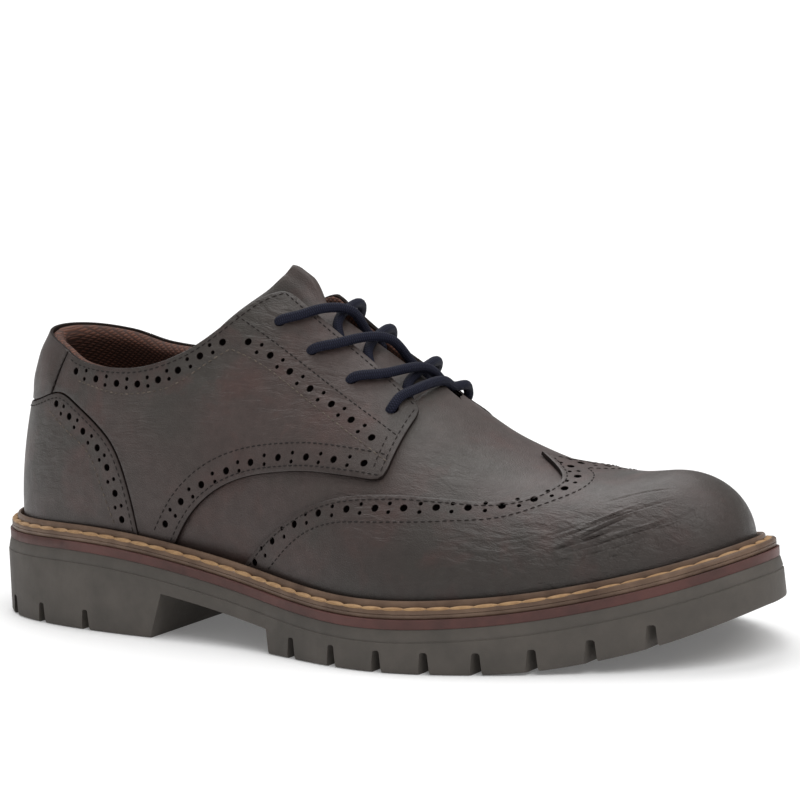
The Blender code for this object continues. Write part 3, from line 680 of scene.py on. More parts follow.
def chart_step(path, direction):
    """The change of angle and rise that moves each place by a vector along the surface."""
    along, up = chart_axes(path)
    aa, uu, au = (along**2).sum(1), (up**2).sum(1), (along * up).sum(1)
    da, du = (direction * along).sum(1), (direction * up).sum(1)
    det = aa * uu - au**2
    return np.stack([(da * uu - du * au) / det, (du * aa - da * au) / det], -1)


def moved(path, direction):
    return path + chart_step(path, direction)


def offset_line(path, distance):
    """The line beside a line of the chart, to its left by a distance."""
    run = unit(np.gradient(shell_point(path[:, 0], path[:, 1], SKIN), axis=0))
    return moved(path, unit(np.cross(outward(path), run)) * distance)


def even_places(path, pitch, start=0.5):
    """Places along a line of the chart at an even pitch on the shoe, with its axes."""
    run = run_along(shell_point(path[:, 0], path[:, 1], SKIN))
    count = max(1, int(round(run[-1] / pitch)))
    at = (np.arange(count) + start) * run[-1] / count
    return np.stack([np.interp(at, run, path[:, k]) for k in (0, 1)], -1)


def inside(points, loop):
    """Which flat points lie inside a closed flat loop."""
    result = np.zeros(len(points), bool)
    x, y = points[:, 0], points[:, 1]
    for (x0, y0), (x1, y1) in zip(loop, np.roll(loop, -1, axis=0)):
        cross = (y0 > y) != (y1 > y)
        if cross.any():
            at = x0 + (y - y0) * (x1 - x0) / (y1 - y0 if y1 != y0 else 1e-12)
            result ^= cross & (x < at)
    return result


# Creases, as soft troughs beside soft ridges: depth, half width, then (angle, rise) marks
CREASES = (
    (0.35, 0.85, ((2.284, 0.251), (2.325, 0.282), (2.378, 0.332), (2.442, 0.386), (2.506, 0.429),
                  (2.583, 0.459))),
    (0.34, 0.81, ((2.308, 0.274), (2.366, 0.301), (2.419, 0.324), (2.466, 0.351), (2.524, 0.363))),
    (0.35, 0.85, ((2.331, 0.243), (2.389, 0.266), (2.460, 0.290), (2.530, 0.320), (2.612, 0.340),
                  (2.688, 0.363), (2.776, 0.386))),
    (0.34, 0.81, ((2.337, 0.220), (2.413, 0.228), (2.489, 0.247), (2.571, 0.266), (2.641, 0.293))),
    (0.30, 0.77, ((2.384, 0.185), (2.448, 0.185), (2.524, 0.197), (2.588, 0.212))),
    (0.22, 0.64, ((2.302, 0.324), (2.349, 0.367), (2.407, 0.405), (2.471, 0.436))),
    (0.22, 0.64, ((2.354, 0.394), (2.413, 0.425), (2.483, 0.475), (2.565, 0.514), (2.653, 0.537))),
    (0.22, 0.68, ((2.442, 0.429), (2.524, 0.475), (2.629, 0.514), (2.741, 0.537), (2.834, 0.541))),
    (0.24, 0.68, ((2.506, 0.313), (2.594, 0.332), (2.700, 0.355), (2.793, 0.378), (2.852, 0.402))),
    (0.22, 0.59, ((2.489, 0.162), (2.506, 0.208), (2.536, 0.239))),
    (0.18, 0.59, ((2.547, 0.143), (2.565, 0.189), (2.594, 0.224))),
    (0.19, 0.59, ((2.635, 0.324), (2.711, 0.332), (2.793, 0.363))),
    (0.22, 0.64, ((2.278, 0.355), (2.325, 0.390), (2.384, 0.432))),
    (0.16, 0.77, ((2.425, 0.583), (2.530, 0.629), (2.676, 0.656), (2.817, 0.641))),
    (0.24, 0.68, ((2.267, 0.185), (2.313, 0.201), (2.366, 0.212))),
    (0.22, 0.64, ((2.114, 0.297), (2.155, 0.324), (2.208, 0.344), (2.249, 0.382))),
    (0.19, 0.64, ((2.132, 0.236), (2.179, 0.259), (2.231, 0.282))),
    (0.19, 0.64, ((2.155, 0.189), (2.208, 0.208), (2.267, 0.236))),
)
CREASES += tuple(
    (depth * 0.6, width * 0.75, tuple((angle + turn, rise + up) for angle, rise in line))
    for depth, width, line in CREASES[:9]
    for turn, up in ((0.022, 0.019), (-0.030, -0.015))
)
# Zones of fine wrinkles: (angle, rise), reach along and across, strength
WRINKLED = (
    (2.42, 0.30, 34 * MM, 20 * MM, 1.0),
    (2.66, 0.36, 26 * MM, 14 * MM, 0.7),
    (2.12, 0.26, 16 * MM, 14 * MM, 0.6),
    (1.93, 0.62, 14 * MM, 16 * MM, 0.35),
    (1.36, 0.72, 12 * MM, 13 * MM, 0.65),
    (1.52, 0.66, 22 * MM, 11 * MM, 0.6),
    (1.24, 0.50, 13 * MM, 10 * MM, 0.75),
    (1.45, 0.50, 20 * MM, 10 * MM, 0.45),
    (1.78, 0.30, 18 * MM, 9 * MM, 0.5),
    (1.02, 0.34, 16 * MM, 9 * MM, 0.35),
    (0.60, 0.22, 12 * MM, 12 * MM, 0.3),
)
FINE_GRID = 0.62 * MM


def flexed(flat):
    """How wrinkled the leather is at places of the chart, from 0 to 1."""
    level = np.zeros(len(flat))
    for angle, rise, along, across, strength in WRINKLED:
        away = (flat - to_flat([(angle, rise)])[0]) / (along, across)
        level = np.maximum(level, strength * np.exp(-((away**2).sum(1))))
    return level


def crease_distance(flat):
    """Signed distance to each crease's line and the place along it, for the places near it."""
    for depth, width, line in CREASES:
        marks = to_flat(smooth_path(line, 1.5 * MM))
        reach = 4 * width * MM
        box = ((flat > marks.min(0) - reach) & (flat < marks.max(0) + reach)).all(1)
        if not box.any():
            continue
        near = flat[box]
        best = np.full(len(near), 1e9)
        end = np.zeros(len(near))
        total = len(marks) - 1
        for k, (a, b) in enumerate(zip(marks[:-1], marks[1:])):
            span = b - a
            t = np.clip(((near - a) @ span) / (span @ span), 0, 1)
            away = near - (a + t[:, None] * span)
            side = np.sign(span[0] * away[:, 1] - span[1] * away[:, 0])
            signed = np.linalg.norm(away, axis=1) * side
            closer = np.abs(signed) < np.abs(best)
            best = np.where(closer, signed, best)
            end = np.where(closer, (k + t) / total, end)
        yield depth * MM, width * MM, box, best, end


def near_creases(flat):
    result = np.zeros(len(flat), bool)
    for _, width, box, best, _ in crease_distance(flat):
        result[np.nonzero(box)[0][np.abs(best) < 3.2 * width]] = True
    return result


def relief(path, flat):
    """Height of the creases over the smooth leather."""
    height = np.zeros(len(path))
    for depth, width, box, best, end in crease_distance(flat):
        fade = np.clip(np.sin(np.clip(end, 0.02, 0.98) * math.pi) * 1.5, 0, 1)
        u = best / width
        ridge = 0.55 * np.exp(-((u - 1.7) ** 2)) + 0.30 * np.exp(-((u + 1.7) ** 2))
        height[box] += fade * depth * (ridge - np.exp(-(u**2)))
    return height


def linked(name, data):
    """A new object in the scene."""
    obj = bpy.data.objects.new(name, data)
    bpy.context.scene.collection.objects.link(obj)
    return obj


def baked(obj):
    """The mesh of an object with its modifiers applied. The object goes."""
    bpy.context.view_layer.update()
    graph = bpy.context.evaluated_depsgraph_get()
    mesh = bpy.data.meshes.new_from_object(obj.evaluated_get(graph))
    bpy.data.objects.remove(obj)
    mesh.shade_smooth()
    return mesh


def mesh_piece(name, points, faces, face_slots=None, attributes=None, sharp=40, weld=True):
    """An object of a closed mesh, with its double points merged and its faces outwards."""
    mesh = bpy.data.meshes.new(name)
    mesh.from_pydata(np.asarray(points).tolist(), [], faces)
    if face_slots is not None:
        mesh.polygons.foreach_set("material_index", np.asarray(face_slots, np.int32))
    for label, values in (attributes or {}).items():
        layer = mesh.attributes.new(label, "FLOAT", "POINT")
        layer.data.foreach_set("value", np.asarray(values, np.float32))
    work = bmesh.new()
    work.from_mesh(mesh)
    if weld:
        bmesh.ops.remove_doubles(work, verts=work.verts, dist=8e-6)
    bmesh.ops.recalc_face_normals(work, faces=work.faces)
    if work.calc_volume(signed=True) < 0:
        bmesh.ops.reverse_faces(work, faces=work.faces)
    work.to_mesh(mesh)
    work.free()
    mesh.shade_smooth()
    mesh.set_sharp_from_angle(angle=math.radians(sharp))
    return linked(name, mesh)


def dress(obj, slot, materials, *nodes):
    """Gives a piece its finishes and its place on the shoe, and hides the solids that it stands
    for.
    """
    for material in materials:
        if material.name not in obj.data.materials:
            obj.data.materials.append(material)
    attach(obj, "root")
    if nodes:
        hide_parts(*nodes)
    return obj


HOLE_SIDES = 14
HOLE_MOUTH = 0.18 * MM
HOLE_DEPTH = 1.0 * MM
HOLE_REACH = 5 * MM
# The cut edge's rounding: distance in from the border, drop below the face
ROUNDING = ((0.0, 0.45 * MM), (0.12 * MM, 0.16 * MM), (0.4 * MM, 0.02 * MM))
ROW_SHARE = 0.866
EDGE_REACH = 6 * MM


def distances(points, others):
    """How far each flat point is from the nearest of some others."""
    tree = KDTree(len(others))
    for i, (u, v) in enumerate(others):
        tree.insert((u, v, 0), i)
    tree.balance()
    return np.array([tree.find((u, v, 0))[2] for u, v in points])


def depth_at(depth, path):
    return depth(path) if callable(depth) else np.full(len(path), depth)


def panel(name, border, outer, inner, grid, holes=(), sides=(LATERAL, MEDIAL), sheared=False):
    """A sheet of leather cut along a border of the lateral chart, with punched holes.

    Its cut edges are rounded over. Where the border runs along the heel's middle, the toe's
    middle or the ridge, the two halves of the piece are joined there instead.
    """
    count = len(border)
    tiny = 1e-6
    on_heel, on_toe = border[:, 0] < tiny, border[:, 0] > math.pi - tiny
    seam = np.stack([on_heel, on_toe, border[:, 1] > 1 - tiny], -1)
    seam_edge = (seam & np.roll(seam, -1, axis=0)).any(1)
    before = np.roll(seam_edge, 1)
    points = shell_point(border[:, 0], border[:, 1], SKIN)
    ahead = np.roll(points, -1, axis=0) - points
    behind = points - np.roll(points, 1, axis=0)
    run = np.where(seam_edge[:, None], behind, np.where(before[:, None], ahead, ahead + behind))
    inward = unit(np.cross(outward(border), unit(run)))
    corner = seam_edge ^ before
    along_axis, up_axis = chart_axes(border)

    def ring(distance):
        step = chart_step(border, inward * distance)
        for i in np.nonzero(corner)[0]:
            axis, k = (along_axis[i], 0) if seam[i, 2] else (up_axis[i], 1)
            size = np.linalg.norm(axis)
            share = float(inward[i] @ axis) / size
            share = math.copysign(max(abs(share), 0.4), share)
            step[i] = 0
            step[i, k] = distance / share / size
        step[seam_edge & before] = 0
        return border + step

    rings = [ring(distance) for distance, _ in ROUNDING]
    loop = to_flat(rings[-1])
    hole_rings = []
    for angle, rise, radius in holes:
        centre = np.array([[angle, rise]])
        across = unit(chart_axes(centre)[0][0])
        other = np.cross(outward(centre)[0], across)
        turn = np.arange(HOLE_SIDES) * FULL_TURN / HOLE_SIDES
        spokes = np.cos(turn)[:, None] * across + np.sin(turn)[:, None] * other
        hole_rings.append((centre, spokes, radius))
    hole_loops = [
        moved(np.repeat(centre, HOLE_SIDES, 0), spokes * (radius + HOLE_MOUTH))
        for centre, spokes, radius in hole_rings
    ]
    fixed = np.concatenate([loop] + [to_flat(h) for h in hole_loops])
    low, high = loop.min(0), loop.max(0)
    rows = []
    for j, v in enumerate(np.arange(low[1], high[1] + grid, grid * ROW_SHARE)):
        u = np.arange(low[0] - grid, high[0] + grid, grid) + (j % 2) * grid / 2
        rows.append(np.stack([u, np.full(len(u), v)], -1))
    inner_points = np.concatenate(rows)
    zone = near_creases(inner_points)
    u, v = np.meshgrid(*(np.arange(low[k], high[k], FINE_GRID) for k in (0, 1)))
    fine = np.stack([u.ravel(), v.ravel()], -1)
    fine = fine[near_creases(fine)]
    inner_points = np.concatenate([inner_points[~zone], fine])
    inner_points = inner_points[inside(inner_points, loop)]
    for h in hole_loops:
        f = to_flat(h)
        near = (np.abs(inner_points - f.mean(0)) < HOLE_REACH).all(1)
        keep = np.ones(len(inner_points), bool)
        keep[near] = ~inside(inner_points[near], f)
        inner_points = inner_points[keep]
    clear = distances(inner_points, fixed) > 0.4 * MM
    flat = np.concatenate([fixed, inner_points[clear]])
    edges = [(i, (i + 1) % count) for i in range(count)]
    for k in range(len(hole_loops)):
        first = count + k * HOLE_SIDES
        edges += [(first + i, first + (i + 1) % HOLE_SIDES) for i in range(HOLE_SIDES)]
    scale = 1000.0
    out = delaunay_2d_cdt([tuple(p * scale) for p in flat], edges, [], 0, 1e-7)
    new_points = np.array([tuple(v) for v in out[0]]) / scale
    where = np.arange(len(flat))
    for new, olds in enumerate(out[3]):
        for old in olds:
            where[old] = new
    triangles = np.array(out[2])
    centres = new_points[triangles].mean(1)
    kept = inside(centres, loop)
    triangles, centres = triangles[kept], centres[kept]
    in_hole = np.zeros(len(triangles), bool)
    for h in hole_loops:
        f = to_flat(h)
        near = np.nonzero((np.abs(centres - f.mean(0)) < HOLE_REACH).all(1))[0]
        in_hole[near] |= inside(centres[near], f)
    path = from_flat(new_points)
    # Places on a seam stay on it exactly, so the two halves meet
    path[where[:count]] = rings[-1]
    height = relief(path, new_points)
    border_flat = to_flat(border)
    free = ~(seam_edge | before)
    away = distances(new_points, border_flat[free])
    flex = flexed(new_points)
    all_points, faces, slots, edge_far, flexes = [], [], [], [], []
    size = 0
    for side in sides:
        def place(chart, depth):
            angle, rise = both_sides(chart[:, 0], chart[:, 1], side, sheared)
            depth = np.broadcast_to(depth, (len(chart),))
            return shell_point(angle, rise, depth + facing_stand(angle, rise))

        face_depth = depth_at(outer, path) + height - ROUNDING[2][1]
        ring_depth = depth_at(outer, border) + relief(border, border_flat)
        blocks = [place(path, face_depth), place(path, inner)]
        blocks += [place(r, ring_depth - drop) for r, (_, drop) in zip(rings[:2], ROUNDING)]
        blocks.append(place(border, inner))
        offsets = np.cumsum([0] + [len(b) for b in blocks]) + size
        top, under, cut, shoulder, lower = offsets[:5]
        faces += (triangles[~in_hole] + top).tolist()
        slots += [0] * int((~in_hole).sum())
        faces += (triangles[:, ::-1] + under).tolist()
        slots += [1] * len(triangles)
        for i in range(count):
            j = (i + 1) % count
            if seam_edge[i]:
                continue
            a, b = where[i], where[j]
            faces.append((shoulder + i, shoulder + j, top + b, top + a))
            faces.append((cut + i, cut + j, shoulder + j, shoulder + i))
            faces.append((lower + i, lower + j, cut + j, cut + i))
            faces.append((under + a, under + b, lower + j, lower + i))
            slots += [0, 2, 2, 1]
        far = [away, away * 0, np.zeros(count), np.zeros(count), np.zeros(count)]
        smooth_count = sum(len(b) for b in blocks[1:]) + len(hole_rings) * (2 * HOLE_SIDES + 1)
        flexes += [flex, np.zeros(smooth_count)]
        size = int(offsets[-1])
        # The wall and floor of each hole take slot 3, a near-black finish: painted shade inside
        # the hole
        for k, (centre, spokes, radius) in enumerate(hole_rings):
            first = [where[count + k * HOLE_SIDES + i] for i in range(HOLE_SIDES)]
            deep = float(depth_at(outer, centre)[0]) + float(height[first].mean())
            many = np.repeat(centre, HOLE_SIDES, 0)
            blocks += [
                place(moved(many, spokes * radius), deep - 0.17 * MM),
                place(moved(many, spokes * radius * 0.97), deep - HOLE_DEPTH),
                place(centre, deep - HOLE_DEPTH),
            ]
            far += [np.zeros(HOLE_SIDES), np.zeros(HOLE_SIDES), np.zeros(1)]
            t0, f0, m0 = size, size + HOLE_SIDES, size + 2 * HOLE_SIDES
            for i in range(HOLE_SIDES):
                j = (i + 1) % HOLE_SIDES
                faces.append((top + first[j], top + first[i], t0 + i, t0 + j))
                faces.append((t0 + j, t0 + i, f0 + i, f0 + j))
                faces.append((f0 + j, f0 + i, m0))
                slots += [2, 3, 3]
            size += 2 * HOLE_SIDES + 1
        all_points += blocks
        edge_far += far
    edge_values = np.clip(np.concatenate(edge_far) / EDGE_REACH, 0, 1)
    values = {"from_edge": edge_values, "flex": np.concatenate(flexes)}
    return mesh_piece(name, np.concatenate(all_points), faces, slots, values)


def perforations(line, across=1.5 * MM):
    """Large holes at the marks of a line, with a pair of small ones between two of them."""
    marks = np.array(line)
    holes = [(angle, rise, BIG_HOLE) for angle, rise in line]
    points = shell_point(marks[:, 0], marks[:, 1], SKIN)
    middles = (marks[:-1] + marks[1:]) / 2
    square = unit(np.cross(outward(middles), np.diff(points, axis=0)))
    for side in (-1, 1):
        spots = moved(middles, square * across * side)
        holes += [(float(a), float(r), SMALL_HOLE) for a, r in spots]
    return holes


# Finishes
def new_material(name):
    material = bpy.data.materials.new(name)
    material.use_nodes = True
    return material, material.node_tree, material.node_tree.nodes["Principled BSDF"]


def put(made, **values):
    for key, value in values.items():
        made.inputs[key.replace("_", " ")].default_value = value
    return made


def group_tree(name, inputs, outputs):
    tree = bpy.data.node_groups.new(name, "ShaderNodeTree")
    for label, kind, value in inputs:
        socket = tree.interface.new_socket(name=label, in_out="INPUT", socket_type=kind)
        socket.default_value = value
    for label, kind in outputs:
        tree.interface.new_socket(name=label, in_out="OUTPUT", socket_type=kind)
    return tree, tree.nodes.new("NodeGroupInput"), tree.nodes.new("NodeGroupOutput")


def math_node(tree, operation, a, b=None, clamp=False):
    made = tree.nodes.new("ShaderNodeMath")
    made.operation = operation
    made.use_clamp = clamp
    for i, value in enumerate((a, b)):
        if value is None:
            continue
        if isinstance(value, (int, float)):
            made.inputs[i].default_value = value
        else:
            tree.links.new(value, made.inputs[i])
    return made.outputs[0]


def times(tree, a, b, clamp=False):
    return math_node(tree, "MULTIPLY", a, b, clamp)


def plus(tree, a, b, clamp=False):
    return math_node(tree, "ADD", a, b, clamp)


def noise(tree, vector, scale, detail=3.0, rough=0.5, distortion=0.0):
    made = tree.nodes.new("ShaderNodeTexNoise")
    put(made, Scale=scale, Detail=detail, Roughness=rough, Distortion=distortion)
    tree.links.new(vector, made.inputs["Vector"])
    return made.outputs["Fac"]


def ramp(tree, value, low, high):
    """A value spread from 0 at low to 1 at high."""
    made = tree.nodes.new("ShaderNodeMapRange")
    made.clamp = True
    for label, number in (("From Min", low), ("From Max", high)):
        made.inputs[label].default_value = number
    tree.links.new(value, made.inputs["Value"])
    return made.outputs["Result"]


def blend(tree, factor, a, b, mode="MIX"):
    made = tree.nodes.new("ShaderNodeMix")
    made.data_type = "RGBA"
    made.blend_type = mode
    for socket, value in ((made.inputs[0], factor), (made.inputs[6], a), (made.inputs[7], b)):
        if isinstance(value, tuple):
            socket.default_value = (*value, 1.0)
        elif isinstance(value, (int, float)):
            socket.default_value = value
        else:
            tree.links.new(value, socket)
    return made.outputs[2]


def object_space(tree):
    return tree.nodes.new("ShaderNodeTexCoord").outputs["Object"]


def bands(tree, vector, scale, distortion=0.0, detail=2.0):
    made = tree.nodes.new("ShaderNodeTexWave")
    made.wave_type = "BANDS"
    made.bands_direction = "Z"
    made.wave_profile = "SIN"
    put(made, Scale=scale, Distortion=distortion, Detail=detail)
    tree.links.new(vector, made.inputs["Vector"])
    return made.outputs["Fac"]


def turned(tree, vector, angles, scale=(1.0, 1.0, 1.0)):
    made = tree.nodes.new("ShaderNodeMapping")
    made.inputs["Rotation"].default_value = [math.radians(a) for a in angles]
    made.inputs["Scale"].default_value = scale
    tree.links.new(vector, made.inputs["Vector"])
    return made.outputs["Vector"]


def leather_group():
    """Mottled colour with painted shade low down, gloss and height of a waxed, finely grained
    leather.
    """
    tree, given, out = group_tree(
        "waxed_leather",
        (
            ("Main", "NodeSocketColor", (0.075, 0.062, 0.058, 1)),
            ("Cool", "NodeSocketColor", (0.07, 0.068, 0.06, 1)),
            ("Warm", "NodeSocketColor", (0.08, 0.055, 0.05, 1)),
            ("Dark", "NodeSocketColor", (0.03, 0.022, 0.02, 1)),
            ("From Edge", "NodeSocketFloat", 1.0),
            ("Flex", "NodeSocketFloat", 0.0),
        ),
        (
            ("Color", "NodeSocketColor"),
            ("Roughness", "NodeSocketFloat"),
            ("Height", "NodeSocketFloat"),
        ),
    )
    place = object_space(tree)
    apart = tree.nodes.new("ShaderNodeSeparateXYZ")
    tree.links.new(place, apart.inputs[0])
    broad = noise(tree, place, 16.0, 3.0, 0.55, 0.3)
    patches = noise(tree, place, 45.0, 4.0, 0.62, 0.5)
    cloud = noise(tree, place, 190.0, 5.0, 0.65, 0.2)
    main, cool, warm, dark = (given.outputs[tone] for tone in ("Main", "Cool", "Warm", "Dark"))
    colour = blend(tree, ramp(tree, broad, 0.44, 0.60), main, cool)
    colour = blend(tree, ramp(tree, patches, 0.50, 0.66), colour, warm)
    colour = blend(tree, times(tree, ramp(tree, cloud, 0.32, 0.72), 0.42), colour, dark)
    # Painted shade: the leather goes darker towards the welt, low on the shoe, where less light
    # falls from above
    low = ramp(tree, apart.outputs["Z"], 0.075, 0.030)
    colour = blend(tree, times(tree, low, 0.42), colour, dark)
    worn = math_node(tree, "SUBTRACT", 1.0, given.outputs["From Edge"])
    burn = math_node(tree, "POWER", worn, 3.0)
    uneven = ramp(tree, patches, 0.25, 0.75)
    burn = times(tree, burn, plus(tree, uneven, 0.35), True)
    colour = blend(tree, times(tree, burn, 0.60), colour, dark)
    # Wrinkles run up towards the toe; the wax has gone from their tops
    folds = noise(tree, turned(tree, place, (0, 28, 0), (0.22, 1.0, 1.0)), 400.0, 3.0, 0.55, 0.5)
    folded = times(tree, ramp(tree, folds, 0.36, 0.64), given.outputs["Flex"])
    colour = blend(tree, times(tree, folded, 0.22), colour, cool)
    specks = noise(tree, place, 520.0, 2.0, 0.5)
    scuffed = times(tree, ramp(tree, specks, 0.66, 0.72), ramp(tree, patches, 0.5, 0.7))
    colour = blend(tree, times(tree, scuffed, 0.35), colour, (0.11, 0.095, 0.085))
    tree.links.new(colour, out.inputs["Color"])
    gloss = times(tree, math_node(tree, "SUBTRACT", cloud, 0.5), 0.30)
    gloss = plus(tree, gloss, 0.50, True)
    tree.links.new(gloss, out.inputs["Roughness"])
    cells = tree.nodes.new("ShaderNodeTexVoronoi")
    cells.feature = "DISTANCE_TO_EDGE"
    put(cells, Scale=1150.0, Randomness=1.0)
    bent = tree.nodes.new("ShaderNodeVectorMath")
    bent.operation = "ADD"
    wobble = tree.nodes.new("ShaderNodeTexNoise")
    put(wobble, Scale=420.0, Detail=2.0)
    tree.links.new(place, wobble.inputs["Vector"])
    little = tree.nodes.new("ShaderNodeVectorMath")
    little.operation = "SCALE"
    little.inputs["Scale"].default_value = 0.0012
    tree.links.new(wobble.outputs["Color"], little.inputs[0])
    tree.links.new(place, bent.inputs[0])
    tree.links.new(little.outputs[0], bent.inputs[1])
    tree.links.new(bent.outputs[0], cells.inputs["Vector"])
    grain = ramp(tree, cells.outputs["Distance"], 0.0, 0.22)
    fine = noise(tree, place, 900.0, 3.0, 0.6)
    soft = noise(tree, place, 240.0, 3.0, 0.55)
    height = times(tree, grain, 0.45)
    height = plus(tree, height, times(tree, fine, 0.5))
    height = plus(tree, height, times(tree, soft, 1.5))
    height = plus(tree, height, times(tree, folded, 7.0))
    tree.links.new(height, out.inputs["Height"])
    return tree


def add_bump(tree, shader, height, strength, distance):
    bump = tree.nodes.new("ShaderNodeBump")
    put(bump, Strength=strength, Distance=distance)
    tree.links.new(height, bump.inputs["Height"])
    tree.links.new(bump.outputs["Normal"], shader.inputs["Normal"])
    return bump


LEATHER = leather_group()


def leather(name, main, cool, warm, dark, bump=0.60):
    material, tree, shader = new_material(name)
    finish = tree.nodes.new("ShaderNodeGroup")
    finish.node_tree = LEATHER
    for label, colour in (("Main", main), ("Cool", cool), ("Warm", warm), ("Dark", dark)):
        finish.inputs[label].default_value = (*colour, 1)
    for label, socket in (("from_edge", "From Edge"), ("flex", "Flex")):
        read = tree.nodes.new("ShaderNodeAttribute")
        read.attribute_name = label
        tree.links.new(read.outputs["Fac"], finish.inputs[socket])
    tree.links.new(finish.outputs["Color"], shader.inputs["Base Color"])
    tree.links.new(finish.outputs["Roughness"], shader.inputs["Roughness"])
    shader.inputs["Specular IOR Level"].default_value = 0.34
    shader.inputs["Coat Weight"].default_value = 0.22
    shader.inputs["Coat Roughness"].default_value = 0.38
    add_bump(tree, shader, finish.outputs["Height"], bump, 0.0002)
    return material


def plain_finish(name, colour, other, roughness, scale, bump=0.3, distance=0.0002, detail=4.0):
    """A finish with two tones spread by a noise, which also gives a fine roughness and bump."""
    material, tree, shader = new_material(name)
    place = object_space(tree)
    spread = noise(tree, place, scale, detail, 0.6)
    tree.links.new(
        blend(tree, ramp(tree, spread, 0.35, 0.68), colour, other), shader.inputs["Base Color"]
    )
    gloss = times(tree, math_node(tree, "SUBTRACT", spread, 0.5), 0.3)
    tree.links.new(plus(tree, gloss, roughness, True), shader.inputs["Roughness"])
    shader.inputs["Specular IOR Level"].default_value = 0.3
    fine = noise(tree, place, scale * 9, 3.0, 0.6)
    add_bump(tree, shader, plus(tree, fine, spread), bump, distance)
    return material


def woven_lining():
    """Reddish lining cloth with a small diamond mesh."""
    material, tree, shader = new_material("lining_reddish_mesh")
    place = object_space(tree)
    one = bands(tree, turned(tree, place, (0, 38, 0)), 240.0, 0.4)
    two = bands(tree, turned(tree, place, (0, -38, 0)), 240.0, 0.4)
    mesh = math_node(tree, "MINIMUM", one, two)
    spread = noise(tree, place, 260.0, 3.0, 0.6)
    share = ramp(tree, spread, 0.35, 0.68)
    base = blend(tree, share, (0.150, 0.057, 0.034), (0.092, 0.038, 0.024))
    colour = blend(tree, ramp(tree, mesh, 0.42, 0.05), base, (0.052, 0.023, 0.016))
    tree.links.new(colour, shader.inputs["Base Color"])
    shader.inputs["Roughness"].default_value = 0.85
    height = plus(tree, mesh, times(tree, spread, 0.3))
    add_bump(tree, shader, height, 0.6, 0.0004)
    return material


def woven_cord(name, colour, other):
    """A braided cord on its own UV map, round it and along it."""
    material, tree, shader = new_material(name)
    uv = tree.nodes.new("ShaderNodeUVMap")
    uv.uv_map = "cord"
    strands = []
    for slant in (1.0, -1.0):
        made = tree.nodes.new("ShaderNodeTexWave")
        made.wave_type = "BANDS"
        made.bands_direction = "DIAGONAL"
        put(made, Scale=0.6283 * 5, Distortion=0.0)
        slanted = turned(tree, uv.outputs["UV"], (0, 0, 0), (1.0, slant * 3.0, 1.0))
        tree.links.new(slanted, made.inputs["Vector"])
        strands.append(made.outputs["Fac"])
    weave = times(tree, strands[0], strands[1])
    fluff = noise(tree, object_space(tree), 900.0, 3.0, 0.6)
    # Painted shade: the grooves between the strands go darker than their crests, which keep the
    # cord's lighter colour
    shade = times(tree, ramp(tree, weave, 0.05, 0.7), 0.85)
    tree.links.new(blend(tree, shade, other, colour), shader.inputs["Base Color"])
    shader.inputs["Roughness"].default_value = 0.75
    shader.inputs["Specular IOR Level"].default_value = 0.25
    height = plus(tree, weave, times(tree, fluff, 0.4))
    add_bump(tree, shader, height, 0.7, 0.0003)
    return material


upper_leather = leather(
    "upper_leather_waxed", (0.083, 0.060, 0.055), (0.064, 0.056, 0.049), (0.094, 0.057, 0.050),
    (0.026, 0.017, 0.015),
)
overlay_leather = leather(
    "overlay_leather_waxed", (0.077, 0.055, 0.050), (0.058, 0.051, 0.045), (0.088, 0.053, 0.047),
    (0.022, 0.015, 0.013),
)
PLAIN_FINISHES = {
    # name: two tones, roughness, scale of the mottle, and the bump where it is stronger
    "leather_flesh_side": ((0.045, 0.030, 0.024), (0.030, 0.020, 0.016), 0.85, 300),
    "leather_cut_edge": ((0.014, 0.010, 0.009), (0.022, 0.015, 0.013), 0.7, 400),
    # Near black: painted shade in the walls and floors of the punched holes
    "hole_painted_shade": ((0.002, 0.0016, 0.0015), (0.004, 0.003, 0.003), 0.95, 500),
    "sole_rubber_dull": ((0.098, 0.086, 0.075), (0.078, 0.070, 0.062), 0.66, 70, 0.4),
    "midsole_burgundy_edge": ((0.108, 0.043, 0.037), (0.066, 0.032, 0.028), 0.55, 60),
    "welt_brown_waxed": ((0.185, 0.120, 0.082), (0.090, 0.055, 0.038), 0.46, 70),
    "thread_dark_brown": ((0.013, 0.010, 0.009), (0.024, 0.018, 0.016), 0.75, 700),
    "thread_faded_tan": ((0.150, 0.122, 0.098), (0.050, 0.040, 0.034), 0.75, 420),
    "thread_orange_tan": ((0.44, 0.27, 0.13), (0.30, 0.17, 0.08), 0.55, 300),
}
(
    flesh_side, cut_edge, hole_painted_shade, rubber, burgundy, welt_brown, thread_dark, thread_pale,
    thread_tan,
) = (plain_finish(name, *values) for name, values in PLAIN_FINISHES.items())
# No reflections either, so the painted shade in the holes stays dark
hole_painted_shade.node_tree.nodes["Principled BSDF"].inputs["Specular IOR Level"].default_value = 0.0
cut_edge.node_tree.nodes["Principled BSDF"].inputs["Specular IOR Level"].default_value = 0.1
lining_cloth = woven_lining()
lace_cotton = woven_cord("lace_navy_waxed", (0.020, 0.022, 0.048), (0.004, 0.005, 0.014))
LEATHER_SLOTS = (overlay_leather, flesh_side, cut_edge, hole_painted_shade)
BASE_SLOTS = (upper_leather, flesh_side, cut_edge, hole_painted_shade)


# The sole
RING_COUNT = 400
RING = np.arange(RING_COUNT) * FULL_TURN / RING_COUNT


def sole_ring(inset, height_at):
    x, y = outline(RING, inset)
    return np.stack([x, y, height_at(x)], -1)


def cap_faces(first, count):
    """Faces across a ring from side to side."""
    faces = []
    for i in range(count // 2):
        a, b = first + i, first + i + 1
        c, d = first + (count - i - 1) % count, first + (count - i) % count
        corners = list(dict.fromkeys((a, b, c, d)))
        if len(corners) > 2:
            faces.append(tuple(corners))
    return faces


